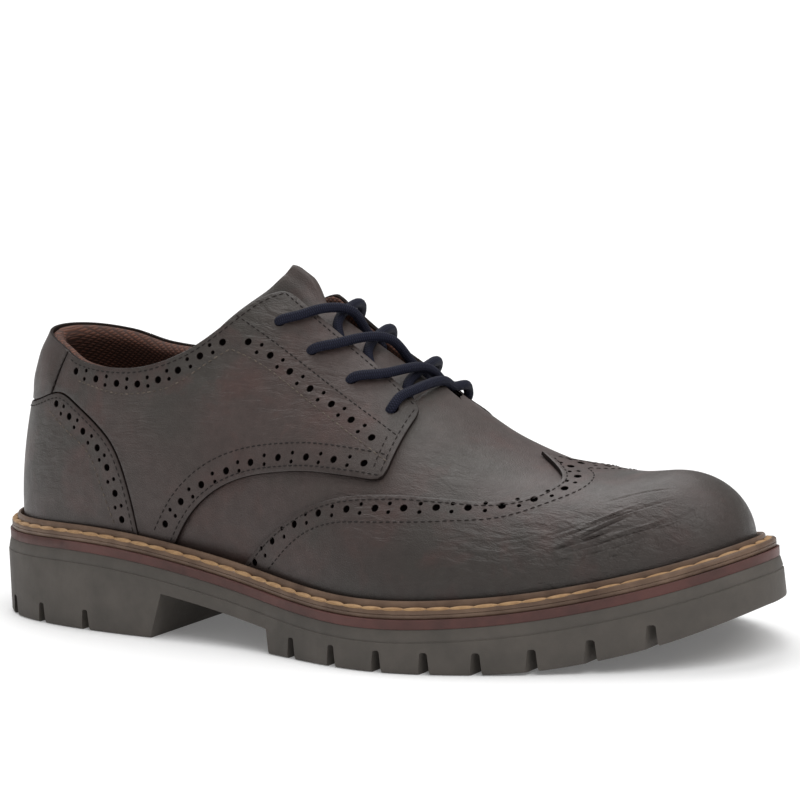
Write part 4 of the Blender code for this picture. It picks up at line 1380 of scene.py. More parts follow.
def ring_faces(levels, count, closed=False):
    faces = []
    for k in range(levels if closed else levels - 1):
        low, high = k * count, (k + 1) % levels * count
        for i in range(count):
            j = (i + 1) % count
            faces.append((low + i, low + j, high + j, high + i))
    return faces


def ring_piece(name, rings, sharp=40):
    faces = ring_faces(len(rings), RING_COUNT)
    faces += cap_faces(0, RING_COUNT) + cap_faces((len(rings) - 1) * RING_COUNT, RING_COUNT)
    return mesh_piece(name, np.concatenate(rings), faces, sharp=sharp)


def quads(near, far):
    """Faces between rows of points, given by their numbers."""
    corners = near[..., :-1], near[..., 1:], far[..., 1:], far[..., :-1]
    return np.stack(corners, -1).reshape(-1, 4).tolist()


def over(height):
    return lambda x: sole_top(x) + height


def prism(near, far):
    """Points and faces of a prism between two outlines with as many corners."""
    count = len(near)
    faces = [tuple(range(count)), tuple(range(count, 2 * count))]
    faces += [(i, (i + 1) % count, count + (i + 1) % count, count + i) for i in range(count)]
    return near + far, faces


def lug_slot(along, side):
    """A tapered slot in the tread's edge."""
    x = along - CENTRE_X
    angle = turn_at(along / SOLE_LENGTH)
    edge = float(outline(angle if side == LATERAL else FULL_TURN - angle, 0)[1])
    floor = float(tread(x))
    inner, outer = edge - side * LUG_REACH, edge + side * 10 * MM
    top, low = floor + LUG_HEIGHT, floor - 6 * MM
    half_top, half_low = LUG_SLOT * 0.3, LUG_SLOT * 0.62
    soft = 0.5 * MM
    corners = [
        (x - half_low, low),
        (x + half_low, low),
        (x + half_top, top - soft),
        (x + half_top - soft, top),
        (x - half_top + soft, top),
        (x - half_top, top - soft),
    ]
    deeper = [(a, inner, z if z < floor else z - LUG_HEIGHT * 0.25) for a, z in corners]
    return prism([(a, outer, z) for a, z in corners], deeper)


def build_outsole():
    rings = [
        sole_ring(1.1 * MM - SOLE_FLARE, tread),
        sole_ring(0.3 * MM - SOLE_FLARE, lambda x: tread(x) + 0.3 * MM),
        sole_ring(-SOLE_FLARE, lambda x: tread(x) + 1.1 * MM),
        sole_ring(-SOLE_FLARE * 0.55, over(-LEDGE_DROP - 0.3 * MM)),
        sole_ring(0.35 * MM - SOLE_FLARE / 2, over(-LEDGE_DROP)),
        sole_ring(0.35 * MM - SOLE_FLARE / 2, over(-LEDGE_DROP + 0.25 * MM)),
        sole_ring(-SOLE_FLARE * 0.35, over(-LEDGE_DROP + 0.6 * MM)),
        sole_ring(LEDGE_STEP * 0.5, over(-0.5 * MM)),
        sole_ring(LEDGE_STEP, over(0)),
    ]
    sole = ring_piece("outsole_rubber", rings)
    breast, block = HEEL_BREAST - CENTRE_X, FORE_BLOCK - CENTRE_X
    roof = [
        (x, float(sole_top(x)) - ARCH_THICKNESS)
        for x in np.linspace(breast + BREAST_LEAN, block - FORE_LEAN, 24)
    ]
    arch = [(block, -5 * MM), (breast, -5 * MM)] + roof
    shapes = [prism(*([(x, y, z) for x, z in arch] for y in (-BALL_WIDTH, BALL_WIDTH)))]
    shapes += [lug_slot(a, side) for a in HEEL_LUGS + FORE_LUGS for side in (LATERAL, MEDIAL)]
    for number, (points, faces) in enumerate(shapes):
        cutter = mesh_piece(f"sole_cutter_{number}", points, faces)
        modifier = sole.modifiers.new("slot", "BOOLEAN")
        modifier.operation = "DIFFERENCE"
        modifier.solver = "EXACT"
        modifier.object = cutter
    mesh = baked(sole)
    mesh.set_sharp_from_angle(angle=math.radians(40))
    for obj in [o for o in bpy.data.objects if o.name.startswith("sole_cutter_")]:
        bpy.data.objects.remove(obj)
    return dress(linked("outsole_rubber", mesh), "sole_rubber", (rubber,), "outsole")


def build_midsole():
    soft = 0.2 * MM
    rings = [
        sole_ring(MIDSOLE_INSET + soft, over(CLOSE)),
        sole_ring(MIDSOLE_INSET, over(CLOSE + soft)),
        sole_ring(MIDSOLE_INSET, over(WELT_BASE - CLOSE - soft)),
        sole_ring(MIDSOLE_INSET + soft, over(WELT_BASE - CLOSE)),
    ]
    return dress(ring_piece("midsole_layer", rings), "midsole_burgundy", (burgundy,), "midsole")


def build_welt():
    margin = welt_margin(RING)
    lip_foot = margin - COUNTER_THICKNESS - UPPER_WALL - GAP - LIP_LEAN
    lip_edge = lip_foot - LIP_THICKNESS
    groove = lip_edge - GROOVE_WIDTH / 2
    section = (
        # inset, height over the outsole
        (WELT_INSET + 0.3 * MM, WELT_BASE),
        (WELT_INSET, WELT_BASE + 0.4 * MM),
        (WELT_INSET, WELT_BASE + 1.35 * MM),
        (WELT_INSET + 0.25 * MM, WELT_BASE + 1.5 * MM),
        (WELT_INSET, WELT_BASE + 1.65 * MM),
        (WELT_INSET + 0.05 * MM, WELT_TOP - 0.6 * MM),
        (WELT_INSET + 0.6 * MM, WELT_TOP),
        (groove - 0.3 * MM, WELT_TOP),
        (groove + 0.2 * MM, WELT_TOP - GROOVE_DEPTH * 0.5),
        (lip_edge - 0.4 * MM, WELT_TOP - GROOVE_DEPTH),
        (lip_edge, WELT_TOP - GROOVE_DEPTH * 0.8),
        (lip_edge + 0.1 * MM, WELT_TOP + LIP_HEIGHT * 0.7),
        (lip_edge + 0.5 * MM, WELT_TOP + LIP_HEIGHT),
        (lip_foot - 0.4 * MM, WELT_TOP + LIP_HEIGHT),
        (lip_foot, WELT_TOP + LIP_HEIGHT * 0.75),
        (lip_foot, WELT_TOP),
        (margin + WELT_FLANGE, WELT_TOP),
        (margin + WELT_FLANGE, WELT_BASE),
    )
    rings = [sole_ring(inset, over(height)) for inset, height in section]
    faces = ring_faces(len(rings), RING_COUNT, closed=True)
    piece = mesh_piece("welt_strip", np.concatenate(rings), faces, sharp=50)
    return dress(piece, "welt_brown", (welt_brown,), "welt")


def build_insole():
    board = welt_margin(RING) + WELT_FLANGE + GAP
    bed = welt_margin(RING) + 2 * GAP
    rings = [
        sole_ring(board, over(MIDSOLE_TOP + GAP)),
        sole_ring(board, over(FEATHER)),
        sole_ring(bed, over(FEATHER)),
        sole_ring(bed - 0.2 * MM, over(FEATHER + INSOLE_THICKNESS * 0.7)),
        sole_ring(bed + 0.7 * MM, over(FEATHER + INSOLE_THICKNESS)),
    ]
    return dress(ring_piece("insole_footbed", rings), "insole_fabric", (lining_cloth,), "insole")


# The upper
OVERLAY_INNER = UPPER_WALL + OVERLAY_FIT
OVERLAY_OUTER = OVERLAY_INNER + OVERLAY_THICKNESS
SEAM_RISE = 0.003
TAB_LOW = 0.545


def counter_rise(angle):
    return Spline(COUNTER_EDGE, 1)((1 - np.cos(angle)) / 2)


def tab_side(shift):
    """The seam between the heel tab and the quarter, from the counter up to the collar."""
    marks = np.array([(0.545, 0.0), (0.560, 0.395), (0.578, 0.435), (0.605, 0.0)])
    marks[:, 0] += shift * np.array([1.0, 1.0, 0.8, 0.2])
    marks[0, 1] = counter_rise(marks[0, 0]) + SEAM_RISE
    marks[-1, 1] = top_rise(marks[-1, 0])
    return smooth_path([tuple(m) for m in marks])


def build_wing_cap():
    edge = edge_path(WING_EDGE)
    edge[0, 1], edge[-1, 1] = 0, 1
    start, end = tuple(edge[0]), tuple(edge[-1])
    border = joined(
        straight_path(start, (math.pi, 0.0)),
        straight_path((math.pi, 0.0), (math.pi, 1.0)),
        straight_path((math.pi, 1.0), end),
        edge[::-1],
    )
    holes = [hole for hole in perforations(WING_HOLES) if hole[1] < NEAR_RIDGE]
    inner = OVERLAY_INNER - 0.2 * MM
    piece = panel("wing_cap_leather", border, OVERLAY_OUTER, inner, 1.6 * MM, holes)
    return dress(piece, "overlay_leather", LEATHER_SLOTS, "wing_cap")


def quarter_border():
    front = turn_at(QUARTER_FRONT)
    low = edge_path(QUARTER_EDGE)
    low[0, 1], low[-1, 0] = 0, front
    side = tab_side(0.013)
    angles = np.linspace(side[-1, 0], front, 200)
    top = resample(np.stack([angles, top_rise(angles)], -1))
    top[0] = side[-1]
    counter = edge_path(COUNTER_EDGE)
    back = counter[counter[:, 0] > side[0, 0] + 0.01] + np.array([0.003, 0.003])
    back[-1] = (back[-1, 0], 0.0)
    border = joined(
        straight_path(tuple(back[-1]), tuple(low[0])),
        low,
        straight_path(tuple(low[-1]), tuple(top[-1])),
        top[::-1],
        side[::-1],
        np.concatenate([[side[0]], back]),
    )
    border = eased(border, [tuple(low[-1]), tuple(top[-1])])
    heights = shell_point(border[:, 0], border[:, 1], MM)[:, 2]
    return eased(border, [tuple(border[heights.argmax()])], 5)


def eased(border, corners, reach=3):
    """The same closed border with its corners rounded off."""
    border = border.copy()
    for corner in corners:
        i = int(np.abs(border - corner).sum(1).argmin())
        span = (np.arange(-reach, reach + 1) + i) % len(border)
        for _ in range(5):
            flat = to_flat(border)
            mean = from_flat((np.roll(flat, 1, axis=0) + np.roll(flat, -1, axis=0)) / 2)
            border[span] = mean[span]
    return border


def eyelet_places(side):
    """Eyelets of one side, in the chart of the lateral half."""
    places = []
    for outer, inner, reach in EYELETS:
        angle = turn_at(outer if side == LATERAL else inner)
        rise = rise_at_edge(angle, reach)
        if side == MEDIAL:
            angle -= float(facing_shear(angle, rise))
        places.append((angle, rise * float(top_rise(angle, LATERAL) / top_rise(angle, side))))
    return places


def build_quarter(side):
    name = "quarter_lateral" if side == LATERAL else "quarter_medial"
    holes = perforations(COLLAR_HOLES) + perforations(FACING_HOLES) + perforations(QUARTER_HOLES)
    holes += [(angle, rise, EYELET_RADIUS) for angle, rise in eyelet_places(side)]
    sizes = OVERLAY_OUTER, OVERLAY_INNER, 1.8 * MM
    piece = panel(name + "_leather", quarter_border(), *sizes, holes, (side,), sheared=True)
    return dress(piece, "overlay_leather", LEATHER_SLOTS, name)


def build_counter():
    edge = edge_path(COUNTER_EDGE)
    edge[0, 0], edge[-1, 1] = 0, 0
    border = joined(
        straight_path((0.0, 0.0), tuple(edge[-1])),
        edge[::-1],
        straight_path(tuple(edge[0]), (0.0, 0.0)),
    )
    holes = perforations(COUNTER_HOLES)
    outer = OVERLAY_INNER + COUNTER_THICKNESS
    piece = panel("heel_counter_leather", border, outer, OVERLAY_INNER, 2.0 * MM, holes)
    return dress(piece, "overlay_leather", LEATHER_SLOTS, "heel_counter")


def build_heel_tab():
    """A padded piece: its face swells between its edges."""
    turns = np.linspace(0, TAB_LOW, 60)
    low = resample(np.stack([turns, counter_rise(turns) + SEAM_RISE], -1))
    side = tab_side(0.0)
    turns = np.linspace(0, side[-1, 0], 60)
    top = resample(np.stack([turns, top_rise(turns)], -1))
    border = joined(low, side, top[::-1], straight_path(tuple(top[0]), tuple(low[0])))
    base = OVERLAY_INNER + TAB_THICKNESS

    def swollen(path):
        from_low = (path[:, 1] - counter_rise(path[:, 0])) * CHART_HEIGHT
        from_top = (top_rise(path[:, 0]) - path[:, 1]) * CHART_HEIGHT
        from_side = to_flat(side[len(side) // 2 :][:1])[0, 0] - to_flat(path)[:, 0]
        near = np.minimum(np.minimum(from_low, from_top), np.maximum(from_side, 0))
        return base - 0.5 * MM + 1.1 * MM * smooth(near / (6 * MM))

    piece = panel("heel_tab_leather", border, swollen, OVERLAY_INNER, 1.6 * MM)
    return dress(piece, "overlay_leather", LEATHER_SLOTS, "heel_tab")


def build_vamp():
    """The base leather that shows between the wing cap and the quarters, under both."""
    wing = edge_path(WING_EDGE)
    wing[0, 1], wing[-1, 1] = 0, 1
    tucked = offset_line(wing, -9 * MM)
    tucked = tucked[(tucked[:, 1] > 0.002) & (tucked[:, 1] < 0.995)]
    first = (float(tucked[0, 0]), 0.0)
    last = (float(tucked[-1, 0]), 1.0)
    low = edge_path(QUARTER_EDGE)
    hidden = offset_line(low, 9 * MM)
    hidden = hidden[hidden[:, 1] > 0.002]
    back = (float(hidden[0, 0]), 0.0)
    tuck, mouth = turn_at(VAMP_TUCK), turn_at(VAMP_MOUTH)
    hidden = hidden[hidden[:, 0] < tuck - 0.01]
    turns = np.linspace(mouth - 0.014, tuck, 30)
    edge = np.stack([turns, top_rise(turns) - 0.01], -1)
    border = joined(
        straight_path(back, first),
        resample(np.concatenate([[first], tucked, [last]])),
        straight_path(last, (mouth, 1.0)),
        straight_path((mouth, 1.0), tuple(edge[0])),
        resample(edge),
        resample(np.concatenate([[edge[-1]], hidden[::-1], [back]])),
    )
    piece = panel("vamp_leather", border, UPPER_WALL, 1.0 * MM, 1.6 * MM)
    return dress(piece, "upper_leather", BASE_SLOTS, "upper")


def padding(angle, points):
    along = (1 - np.cos(angle)) / 2
    below = topline_height(points[..., 0]) - points[..., 2]
    fade = np.clip(1 - below / PADDING_DEPTH, 0, 1)
    return COLLAR_PADDING * np.sin(fade * math.pi / 2) ** 2 * np.clip((0.28 - along) / 0.08, 0, 1)


def build_lining():
    """The inner skin of the upper, with the padded roll of the collar."""
    columns = 300
    rows = 46
    angles = np.arange(columns) * FULL_TURN / columns
    tops = np.array([upper_top(a) for a in angles])
    tops += np.interp(np.minimum(angles, FULL_TURN - angles), HALF_TURN, TAB_LIFT)
    tops = np.minimum(tops, 1)
    share = np.linspace(0, 1, rows)
    outer_depth = 0.95 * MM
    quarter_low = Spline(QUARTER_EDGE, 1)
    points = []
    for a, top in zip(angles, tops):
        rises = share * top
        half = min(a, FULL_TURN - a)
        inner = -padding(np.full(rows, a), last_point(a, rises))
        outer = np.full(rows, outer_depth)
        if half < THROAT_ANGLE:
            along = (1 - math.cos(half)) / 2
            low = quarter_low(along) if half > 1.16 else 0
            raised = np.clip((rises - low - 0.1) / 0.05, 0, 1)
            raised *= float(np.clip((VAMP_TUCK - 0.012 - along) / 0.01, 0, 1))
            outer += (OVERLAY_INNER - 0.15 * MM - outer_depth) * raised
        if top < 1:
            near = np.clip((share - 0.955) / 0.045, 0, 1)
            roll = 1 - np.sqrt(1 - near**2 * 0.98)
            middle = (inner + outer) / 2
            inner = inner + (middle - inner) * roll
            outer = outer + (middle - outer) * roll * 0.6
        turn = np.full(rows, a)
        if a > math.pi:
            turn = turn - facing_shear(FULL_TURN - turn, rises)
        stand = facing_stand(turn, rises)
        points.append(shell_point(turn, rises, inner + stand))
        points.append(shell_point(turn, rises, outer + stand))
    grid = np.arange(columns * 2 * rows).reshape(columns, 2, rows)
    following = np.roll(grid, -1, axis=0)
    free = np.minimum(tops, np.roll(tops, -1)) < 1
    faces = quads(grid, following) + quads(grid[:, :, 0], following[:, :, 0])
    faces += quads(grid[free, :, -1], following[free, :, -1])
    piece = mesh_piece("lining_padded", np.concatenate(points), faces, sharp=60)
    return dress(piece, "upper_leather", (lining_cloth,), "upper")


def build_tongue():
    """Two skins under the facings, from inside the vamp to the peak."""
    at = np.linspace(0, 1, 26)
    table = np.array(TONGUE_TOP)
    steps = np.linspace(0, 1, len(table))
    along = Spline(np.column_stack([steps, table[:, 0]]), 1)(at)
    rise = np.minimum(Spline(np.column_stack([steps, table[:, 1]]), 1)(at), 1.0)
    rise[-1] = 1
    front = turn_at(TONGUE_FRONT)
    rows = 60
    half = []
    for a, r in zip(along, rise):
        share = (r - rise[0]) / (1 - rise[0])
        low = np.array((front, TONGUE_FRONT_RISE + (1 - TONGUE_FRONT_RISE) * share))
        high = np.array((turn_at(a), r))
        half.append(low + (high - low) * np.linspace(0, 1, rows)[:, None])
    columns = half + [np.stack([FULL_TURN - c[:, 0], c[:, 1]], -1) for c in half[-2::-1]]
    outer = -GAP - TONGUE_SINK
    count = len(columns)
    shapes = []
    for number, column in enumerate(columns):
        edge_side = min(number, count - 1 - number) / 2
        edge_top = np.arange(rows)[::-1] * 0.8
        rounded = 0.6 * MM * np.clip(1 - np.minimum(edge_top, edge_side), 0, 1)
        half_turn = np.minimum(column[:, 0], FULL_TURN - column[:, 0])
        back = smooth((angle_of(0.458) - half_turn) / 0.10)
        inner_half = smooth((number - count / 2) / 12 + 0.5)
        ridge_side = 2.8 * smooth((column[:, 1] - 0.91) / 0.09)
        bent = 1.2 * (1 - inner_half) * smooth((column[:, 1] - 0.85) / 0.15)
        bent += inner_half * np.maximum(ridge_side, 2.4 * smooth((column[:, 1] - 0.6) / 0.2))
        stand = TONGUE_STAND * back * bent
        for depth in (outer + stand - rounded, outer - TONGUE_THICKNESS + stand + rounded):
            shapes.append(shell_point(column[:, 0], column[:, 1], depth))
    grid = np.arange(count * 2 * rows).reshape(count, 2, rows)
    skins = [quads(grid[:-1, skin], grid[1:, skin]) for skin in (0, 1)]
    rims = [quads(grid[:-1, :, j], grid[1:, :, j]) for j in (0, -1)]
    rims += [quads(grid[i, 0], grid[i, 1]) for i in (0, -1)]
    faces = skins[0] + skins[1] + sum(rims, [])
    slots = [0] * len(skins[0]) + [1] * len(skins[1])
    slots += [2] * (len(faces) - len(slots))
    far = {"from_edge": np.ones(len(shapes) * rows)}
    piece = mesh_piece("tongue_leather", np.concatenate(shapes), faces, slots, far)
    return dress(piece, "overlay_leather", (overlay_leather, lining_cloth, cut_edge), "tongue")


# The lace
def throat_point(along, across, depth):
    """A point over the throat: across is the distance from the ridge, negative outwards."""
    angle = turn_at(along)
    rise = rise_at_edge(angle, abs(across))
    turned = FULL_TURN - angle if across > 0 else angle
    if abs(across) >= facing_gap(along) - FACING_GAP / 4:
        depth = depth + float(facing_stand(turned, rise))
    return shell_point(np.array(turned), np.array(rise), np.array(depth))


def lace_route():
    """The lace through all eyelets, from one hidden end at a top eyelet to the other."""
    over = OVERLAY_OUTER + GAP / 2 + LACE_RADIUS
    deep = -1.6 * MM
    low = LACE_RADIUS - TONGUE_SINK + 0.1 * MM

    def eyelet_at(number, side):
        outer, inner, reach = EYELETS[number]
        return (outer if side == LATERAL else inner), reach

    def eyelet(number, side):
        along, reach = eyelet_at(number, side)
        return [
            throat_point(along - 0.005, side * (reach + 0.8 * MM), deep),
            throat_point(along - 0.001, side * (reach + 0.2 * MM), over - 1.9 * MM),
        ]

    def crossing(number, side):
        along, reach = eyelet_at(number, side)
        edge, ridge, end = OUTER_LACES[number] if side == LATERAL else INNER_LACE
        gap, far_gap = facing_gap(along + edge), facing_gap(along + end)
        middle = low + (LACE_RADIUS * 1.25 if side == LATERAL else 0)
        return eyelet(number, side) + [
            throat_point(along + edge * 0.6, side * (gap + reach) / 2, over),
            throat_point(along + edge, side * gap, over),
            throat_point(along + ridge, side * GAP, middle),
            throat_point(along + end, -side * (far_gap - LACE_RADIUS * 1.6), low - 0.4 * MM),
            throat_point(along + end + 0.012, -side * (far_gap + 3 * MM), low - 2.4 * MM),
        ]

    outer, inner, _ = EYELETS[-1]
    edge = facing_gap(inner)
    half_way = (edge + EYELETS[-1][2]) / 2
    bar = [
        throat_point(outer + 0.002, LATERAL * half_way, over),
        throat_point((outer + inner) / 2, LATERAL * edge, over),
        throat_point(inner + 0.004, MEDIAL * GAP, over - LACE_RADIUS * 1.3),
        throat_point(inner + 0.005, MEDIAL * edge * 0.5, over - LACE_RADIUS * 1.9),
        throat_point(inner + 0.003, MEDIAL * edge, over - 0.2 * MM),
        throat_point(inner + 0.001, MEDIAL * half_way, over - 0.1 * MM),
    ]
    route = crossing(0, LATERAL) + crossing(1, MEDIAL) + crossing(2, LATERAL)
    route += eyelet(3, MEDIAL) + bar[::-1] + eyelet(3, LATERAL)[::-1]
    route += crossing(2, MEDIAL)[::-1] + crossing(1, LATERAL)[::-1] + crossing(0, MEDIAL)[::-1]
    return np.array(route)


def smooth_line(marks, spacing):
    """A smooth line in space through its marks, in even steps."""
    run = run_along(marks, 0.75)
    rows = np.column_stack([run, marks])
    fine = np.linspace(0, run[-1], 4000)
    line = np.stack([Spline(rows, k)(fine) for k in (1, 2, 3)], -1)
    length = run_along(line)
    steps = np.linspace(0, length[-1], int(length[-1] / spacing))
    return np.stack([np.interp(steps, length, line[:, k]) for k in range(3)], -1), steps


def tube_piece(name, line, steps, radius, sides):
    """A round cord along a line, with its own UV map: round it and along it."""
    run = unit(np.gradient(line, axis=0))
    normals = [unit(np.cross(run[0], (0.0, 0.0, 1.0)))]
    for ahead in run[1:]:
        normals.append(unit(normals[-1] - ahead * (normals[-1] @ ahead)))
    normals = np.array(normals)
    other = np.cross(run, normals)
    turn = np.arange(sides) * FULL_TURN / sides
    ends = np.ones(len(line))
    ends[0] = ends[-1] = 0.5
    around = np.cos(turn)[:, None] * normals[:, None] + np.sin(turn)[:, None] * other[:, None]
    rings = line[:, None] + radius * ends[:, None, None] * around
    faces = ring_faces(len(line), sides)
    faces += [tuple(range(sides)), tuple(range((len(line) - 1) * sides, len(line) * sides))]
    points = rings.reshape(-1, 3)
    piece = mesh_piece(name, points, faces, weld=False)
    layer = piece.data.uv_layers.new(name="cord")
    index = np.zeros(len(piece.data.loops), np.int32)
    piece.data.loops.foreach_get("vertex_index", index)
    u = np.tile(np.arange(sides) / sides, len(line))[index]
    v = np.repeat(steps / (FULL_TURN * radius), sides)[index]
    starts = np.zeros(len(piece.data.polygons), np.int32)
    totals = np.zeros(len(piece.data.polygons), np.int32)
    piece.data.polygons.foreach_get("loop_start", starts)
    piece.data.polygons.foreach_get("loop_total", totals)
    for s, t in zip(starts, totals):
        if t == 4:
            part_u = u[s : s + t]
            if part_u.max() - part_u.min() > 0.5:
                u[s : s + t] = np.where(part_u < 0.5, part_u + 1, part_u)
    layer.data.foreach_set("uv", np.stack([u, v], -1).ravel().astype(np.float32))
    return piece


def build_lace():
    line, steps = smooth_line(lace_route(), 0.8 * MM)
    piece = tube_piece("lace_round", line, steps, LACE_RADIUS, 14)
    nodes = [f"lace_cross_{k}" for k in (1, 2, 3)] + ["lace_bar"]
    return dress(piece, "lace_navy", (lace_cotton,), *nodes)


# Stitches: one tree puts a stitch at each place, turned along its row
def lens_mesh(name, length, width, height, sections, sides, bows=(0.0,)):
    """Closed low bodies, round across and pointed at both ends along X, bowed along Y."""
    points, faces = [], []
    for number, bow in enumerate(bows):
        for x in np.linspace(-1, 1, sections):
            size = max(0.12, (1 - abs(x) ** 2.6) ** 0.5)
            middle = bow * (1 - x * x)
            for k in range(sides):
                t = k * FULL_TURN / sides
                points.append((x * length / 2, middle + math.cos(t) * width / 2 * size,
                               math.sin(t) * height * size))
        first = number * sections * sides
        body = ring_faces(sections, sides)
        body += [tuple(range(sides)), tuple(range((sections - 1) * sides, sections * sides))]
        faces += [tuple(first + i for i in face) for face in body]
    return mesh_piece(name, points, faces, weld=False)


def stitch_tree(material):
    """Copies of one stitch at all points of a mesh, along their attributes run and out."""
    tree = bpy.data.node_groups.new("stitch_row", "GeometryNodeTree")
    face = tree.interface
    face.new_socket(name="Places", in_out="INPUT", socket_type="NodeSocketGeometry")
    face.new_socket(name="Stitch", in_out="INPUT", socket_type="NodeSocketObject")
    size = face.new_socket(name="Size", in_out="INPUT", socket_type="NodeSocketFloat")
    size.default_value = 1.0
    face.new_socket(name="Stitches", in_out="OUTPUT", socket_type="NodeSocketGeometry")
    given = tree.nodes.new("NodeGroupInput")
    out = tree.nodes.new("NodeGroupOutput")
    info = tree.nodes.new("GeometryNodeObjectInfo")
    info.transform_space = "ORIGINAL"
    tree.links.new(given.outputs["Stitch"], info.inputs["Object"])
    turned = None
    for label, axis in (("run", "X"), ("out", "Z")):
        read = tree.nodes.new("GeometryNodeInputNamedAttribute")
        read.data_type = "FLOAT_VECTOR"
        read.inputs["Name"].default_value = label
        align = tree.nodes.new("FunctionNodeAlignRotationToVector")
        align.axis = axis
        if turned is not None:
            align.pivot_axis = "X"
            tree.links.new(turned, align.inputs["Rotation"])
        tree.links.new(read.outputs["Attribute"], align.inputs["Vector"])
        turned = align.outputs["Rotation"]
    copies = tree.nodes.new("GeometryNodeInstanceOnPoints")
    tree.links.new(given.outputs["Places"], copies.inputs["Points"])
    tree.links.new(info.outputs["Geometry"], copies.inputs["Instance"])
    tree.links.new(turned, copies.inputs["Rotation"])
    tree.links.new(given.outputs["Size"], copies.inputs["Scale"])
    real = tree.nodes.new("GeometryNodeRealizeInstances")
    tree.links.new(copies.outputs["Instances"], real.inputs["Geometry"])
    finish = tree.nodes.new("GeometryNodeSetMaterial")
    finish.inputs["Material"].default_value = material
    tree.links.new(real.outputs["Geometry"], finish.inputs["Geometry"])
    tree.links.new(finish.outputs["Geometry"], out.inputs["Stitches"])
    return tree


def sewn(name, places, runs, outs, stitch, material, size=1.0):
    """A piece of stitches at their places. The one that is copied goes."""
    mesh = bpy.data.meshes.new(name)
    mesh.from_pydata(np.asarray(places).tolist(), [], [])
    for label, values in (("run", runs), ("out", outs)):
        layer = mesh.attributes.new(label, "FLOAT_VECTOR", "POINT")
        layer.data.foreach_set("vector", np.asarray(values, np.float32).ravel())
    obj = linked(name, mesh)
    tree = stitch_tree(material)
    modifier = obj.modifiers.new("stitches", "NODES")
    modifier.node_group = tree
    sockets = {s.name: s.identifier for s in tree.interface.items_tree if s.in_out == "INPUT"}
    modifier[sockets["Stitch"]] = stitch
    modifier[sockets["Size"]] = size
    made = baked(obj)
    bpy.data.objects.remove(stitch)
    made.materials.clear()
    made.materials.append(material)
    return linked(name, made)


def seam_places(rows, depth):
    """Places, runs and outward directions of stitches along rows, on both sides of the foot."""
    places, runs, outs = [], [], []
    for line in rows:
        spots = even_places(line, STITCH_PITCH)
        ahead = even_places(line, STITCH_PITCH, 0.62)
        for side in (LATERAL, MEDIAL):
            angle, rise = both_sides(spots[:, 0], spots[:, 1], side)
            next_angle, next_rise = both_sides(ahead[:, 0], ahead[:, 1], side)
            height = relief(spots, to_flat(spots))
            here = shell_point(angle, rise, depth + height + facing_stand(angle, rise))
            ahead_stand = facing_stand(next_angle, next_rise)
            there = shell_point(next_angle, next_rise, depth + height + ahead_stand)
            places.append(here)
            runs.append(unit(there - here))
            outs.append(last_normal(angle, np.clip(rise, 0, NEAR_RIDGE)))
    return [np.concatenate(v) for v in (places, runs, outs)]


def inner_part(path, low=0.0, high=0.99):
    return path[(path[:, 1] > low) & (path[:, 1] < high)]


def build_seams():
    wing = inner_part(offset_line(edge_path(WING_EDGE, 1 * MM), -1.7 * MM), 0.01)
    low = edge_path(QUARTER_EDGE, 1 * MM)
    quarter = inner_part(offset_line(low, 1.9 * MM), 0.01)
    quarter = quarter[quarter[:, 0] < turn_at(QUARTER_FRONT) - 0.012]
    band = inner_part(offset_line(low, 9.7 * MM), 0.015)
    band = band[band[:, 0] < 1.795]
    front = turn_at(QUARTER_FRONT)
    turns = np.linspace(turn_at(QUARTER_BACK) + 0.02, front - 0.015, 300)
    top = offset_line(resample(np.stack([turns, top_rise(turns)], -1), 1 * MM), -1.7 * MM)
    rise_low, rise_high = float(quarter[-1, 1]), float(top[-1, 1])
    fronts = [
        straight_path((front - back, rise_low + 0.012), (front - back, rise_high - 0.012), 1 * MM)
        for back in (0.013, 0.034)
    ]
    fronts[1] = fronts[1][: len(fronts[1]) // 2]
    dark_rows = [
        wing, smooth_path(WING_LOW_ROW, 1 * MM), quarter, band, top,
        smooth_path(FACING_IN_ROW, 1 * MM),
        smooth_path((tuple(band[-1]), FACING_LOW_ROW[-1]), 1 * MM), *fronts,
    ]
    pale_rows = [smooth_path(FACING_LOW_ROW, 1 * MM), smooth_path(COLLAR_LOW_ROW, 1 * MM)]
    counter = inner_part(offset_line(edge_path(COUNTER_EDGE, 1 * MM), -1.7 * MM), 0.01)
    counter = counter[counter[:, 0] > 0.03]
    outer = OVERLAY_INNER + COUNTER_THICKNESS
    # The two rows by the heel tab's side lie in the gap between the tab and the quarter: they are
    # dark thread, and they also stand as painted shade in that gap
    heel_rows = [counter, tab_side(0.006), tab_side(0.009)]
    for name, rows, counter_rows, thread in (
        ("seam_stitches_dark", dark_rows, heel_rows, thread_dark),
        ("seam_stitches_pale", pale_rows, [smooth_path(COUNTER_IN_ROW, 1 * MM)], thread_pale),
    ):
        stitch = lens_mesh("stitch_shape", 1.75 * MM, 0.52 * MM, 0.24 * MM, 5, 6)
        sets = seam_places(rows, OVERLAY_OUTER), seam_places(counter_rows, outer)
        places, runs, outs = (np.concatenate([a, b]) for a, b in zip(*sets))
        piece = sewn(name, places, runs, outs, stitch, thread)
        dress(piece, "overlay_leather", (thread,))


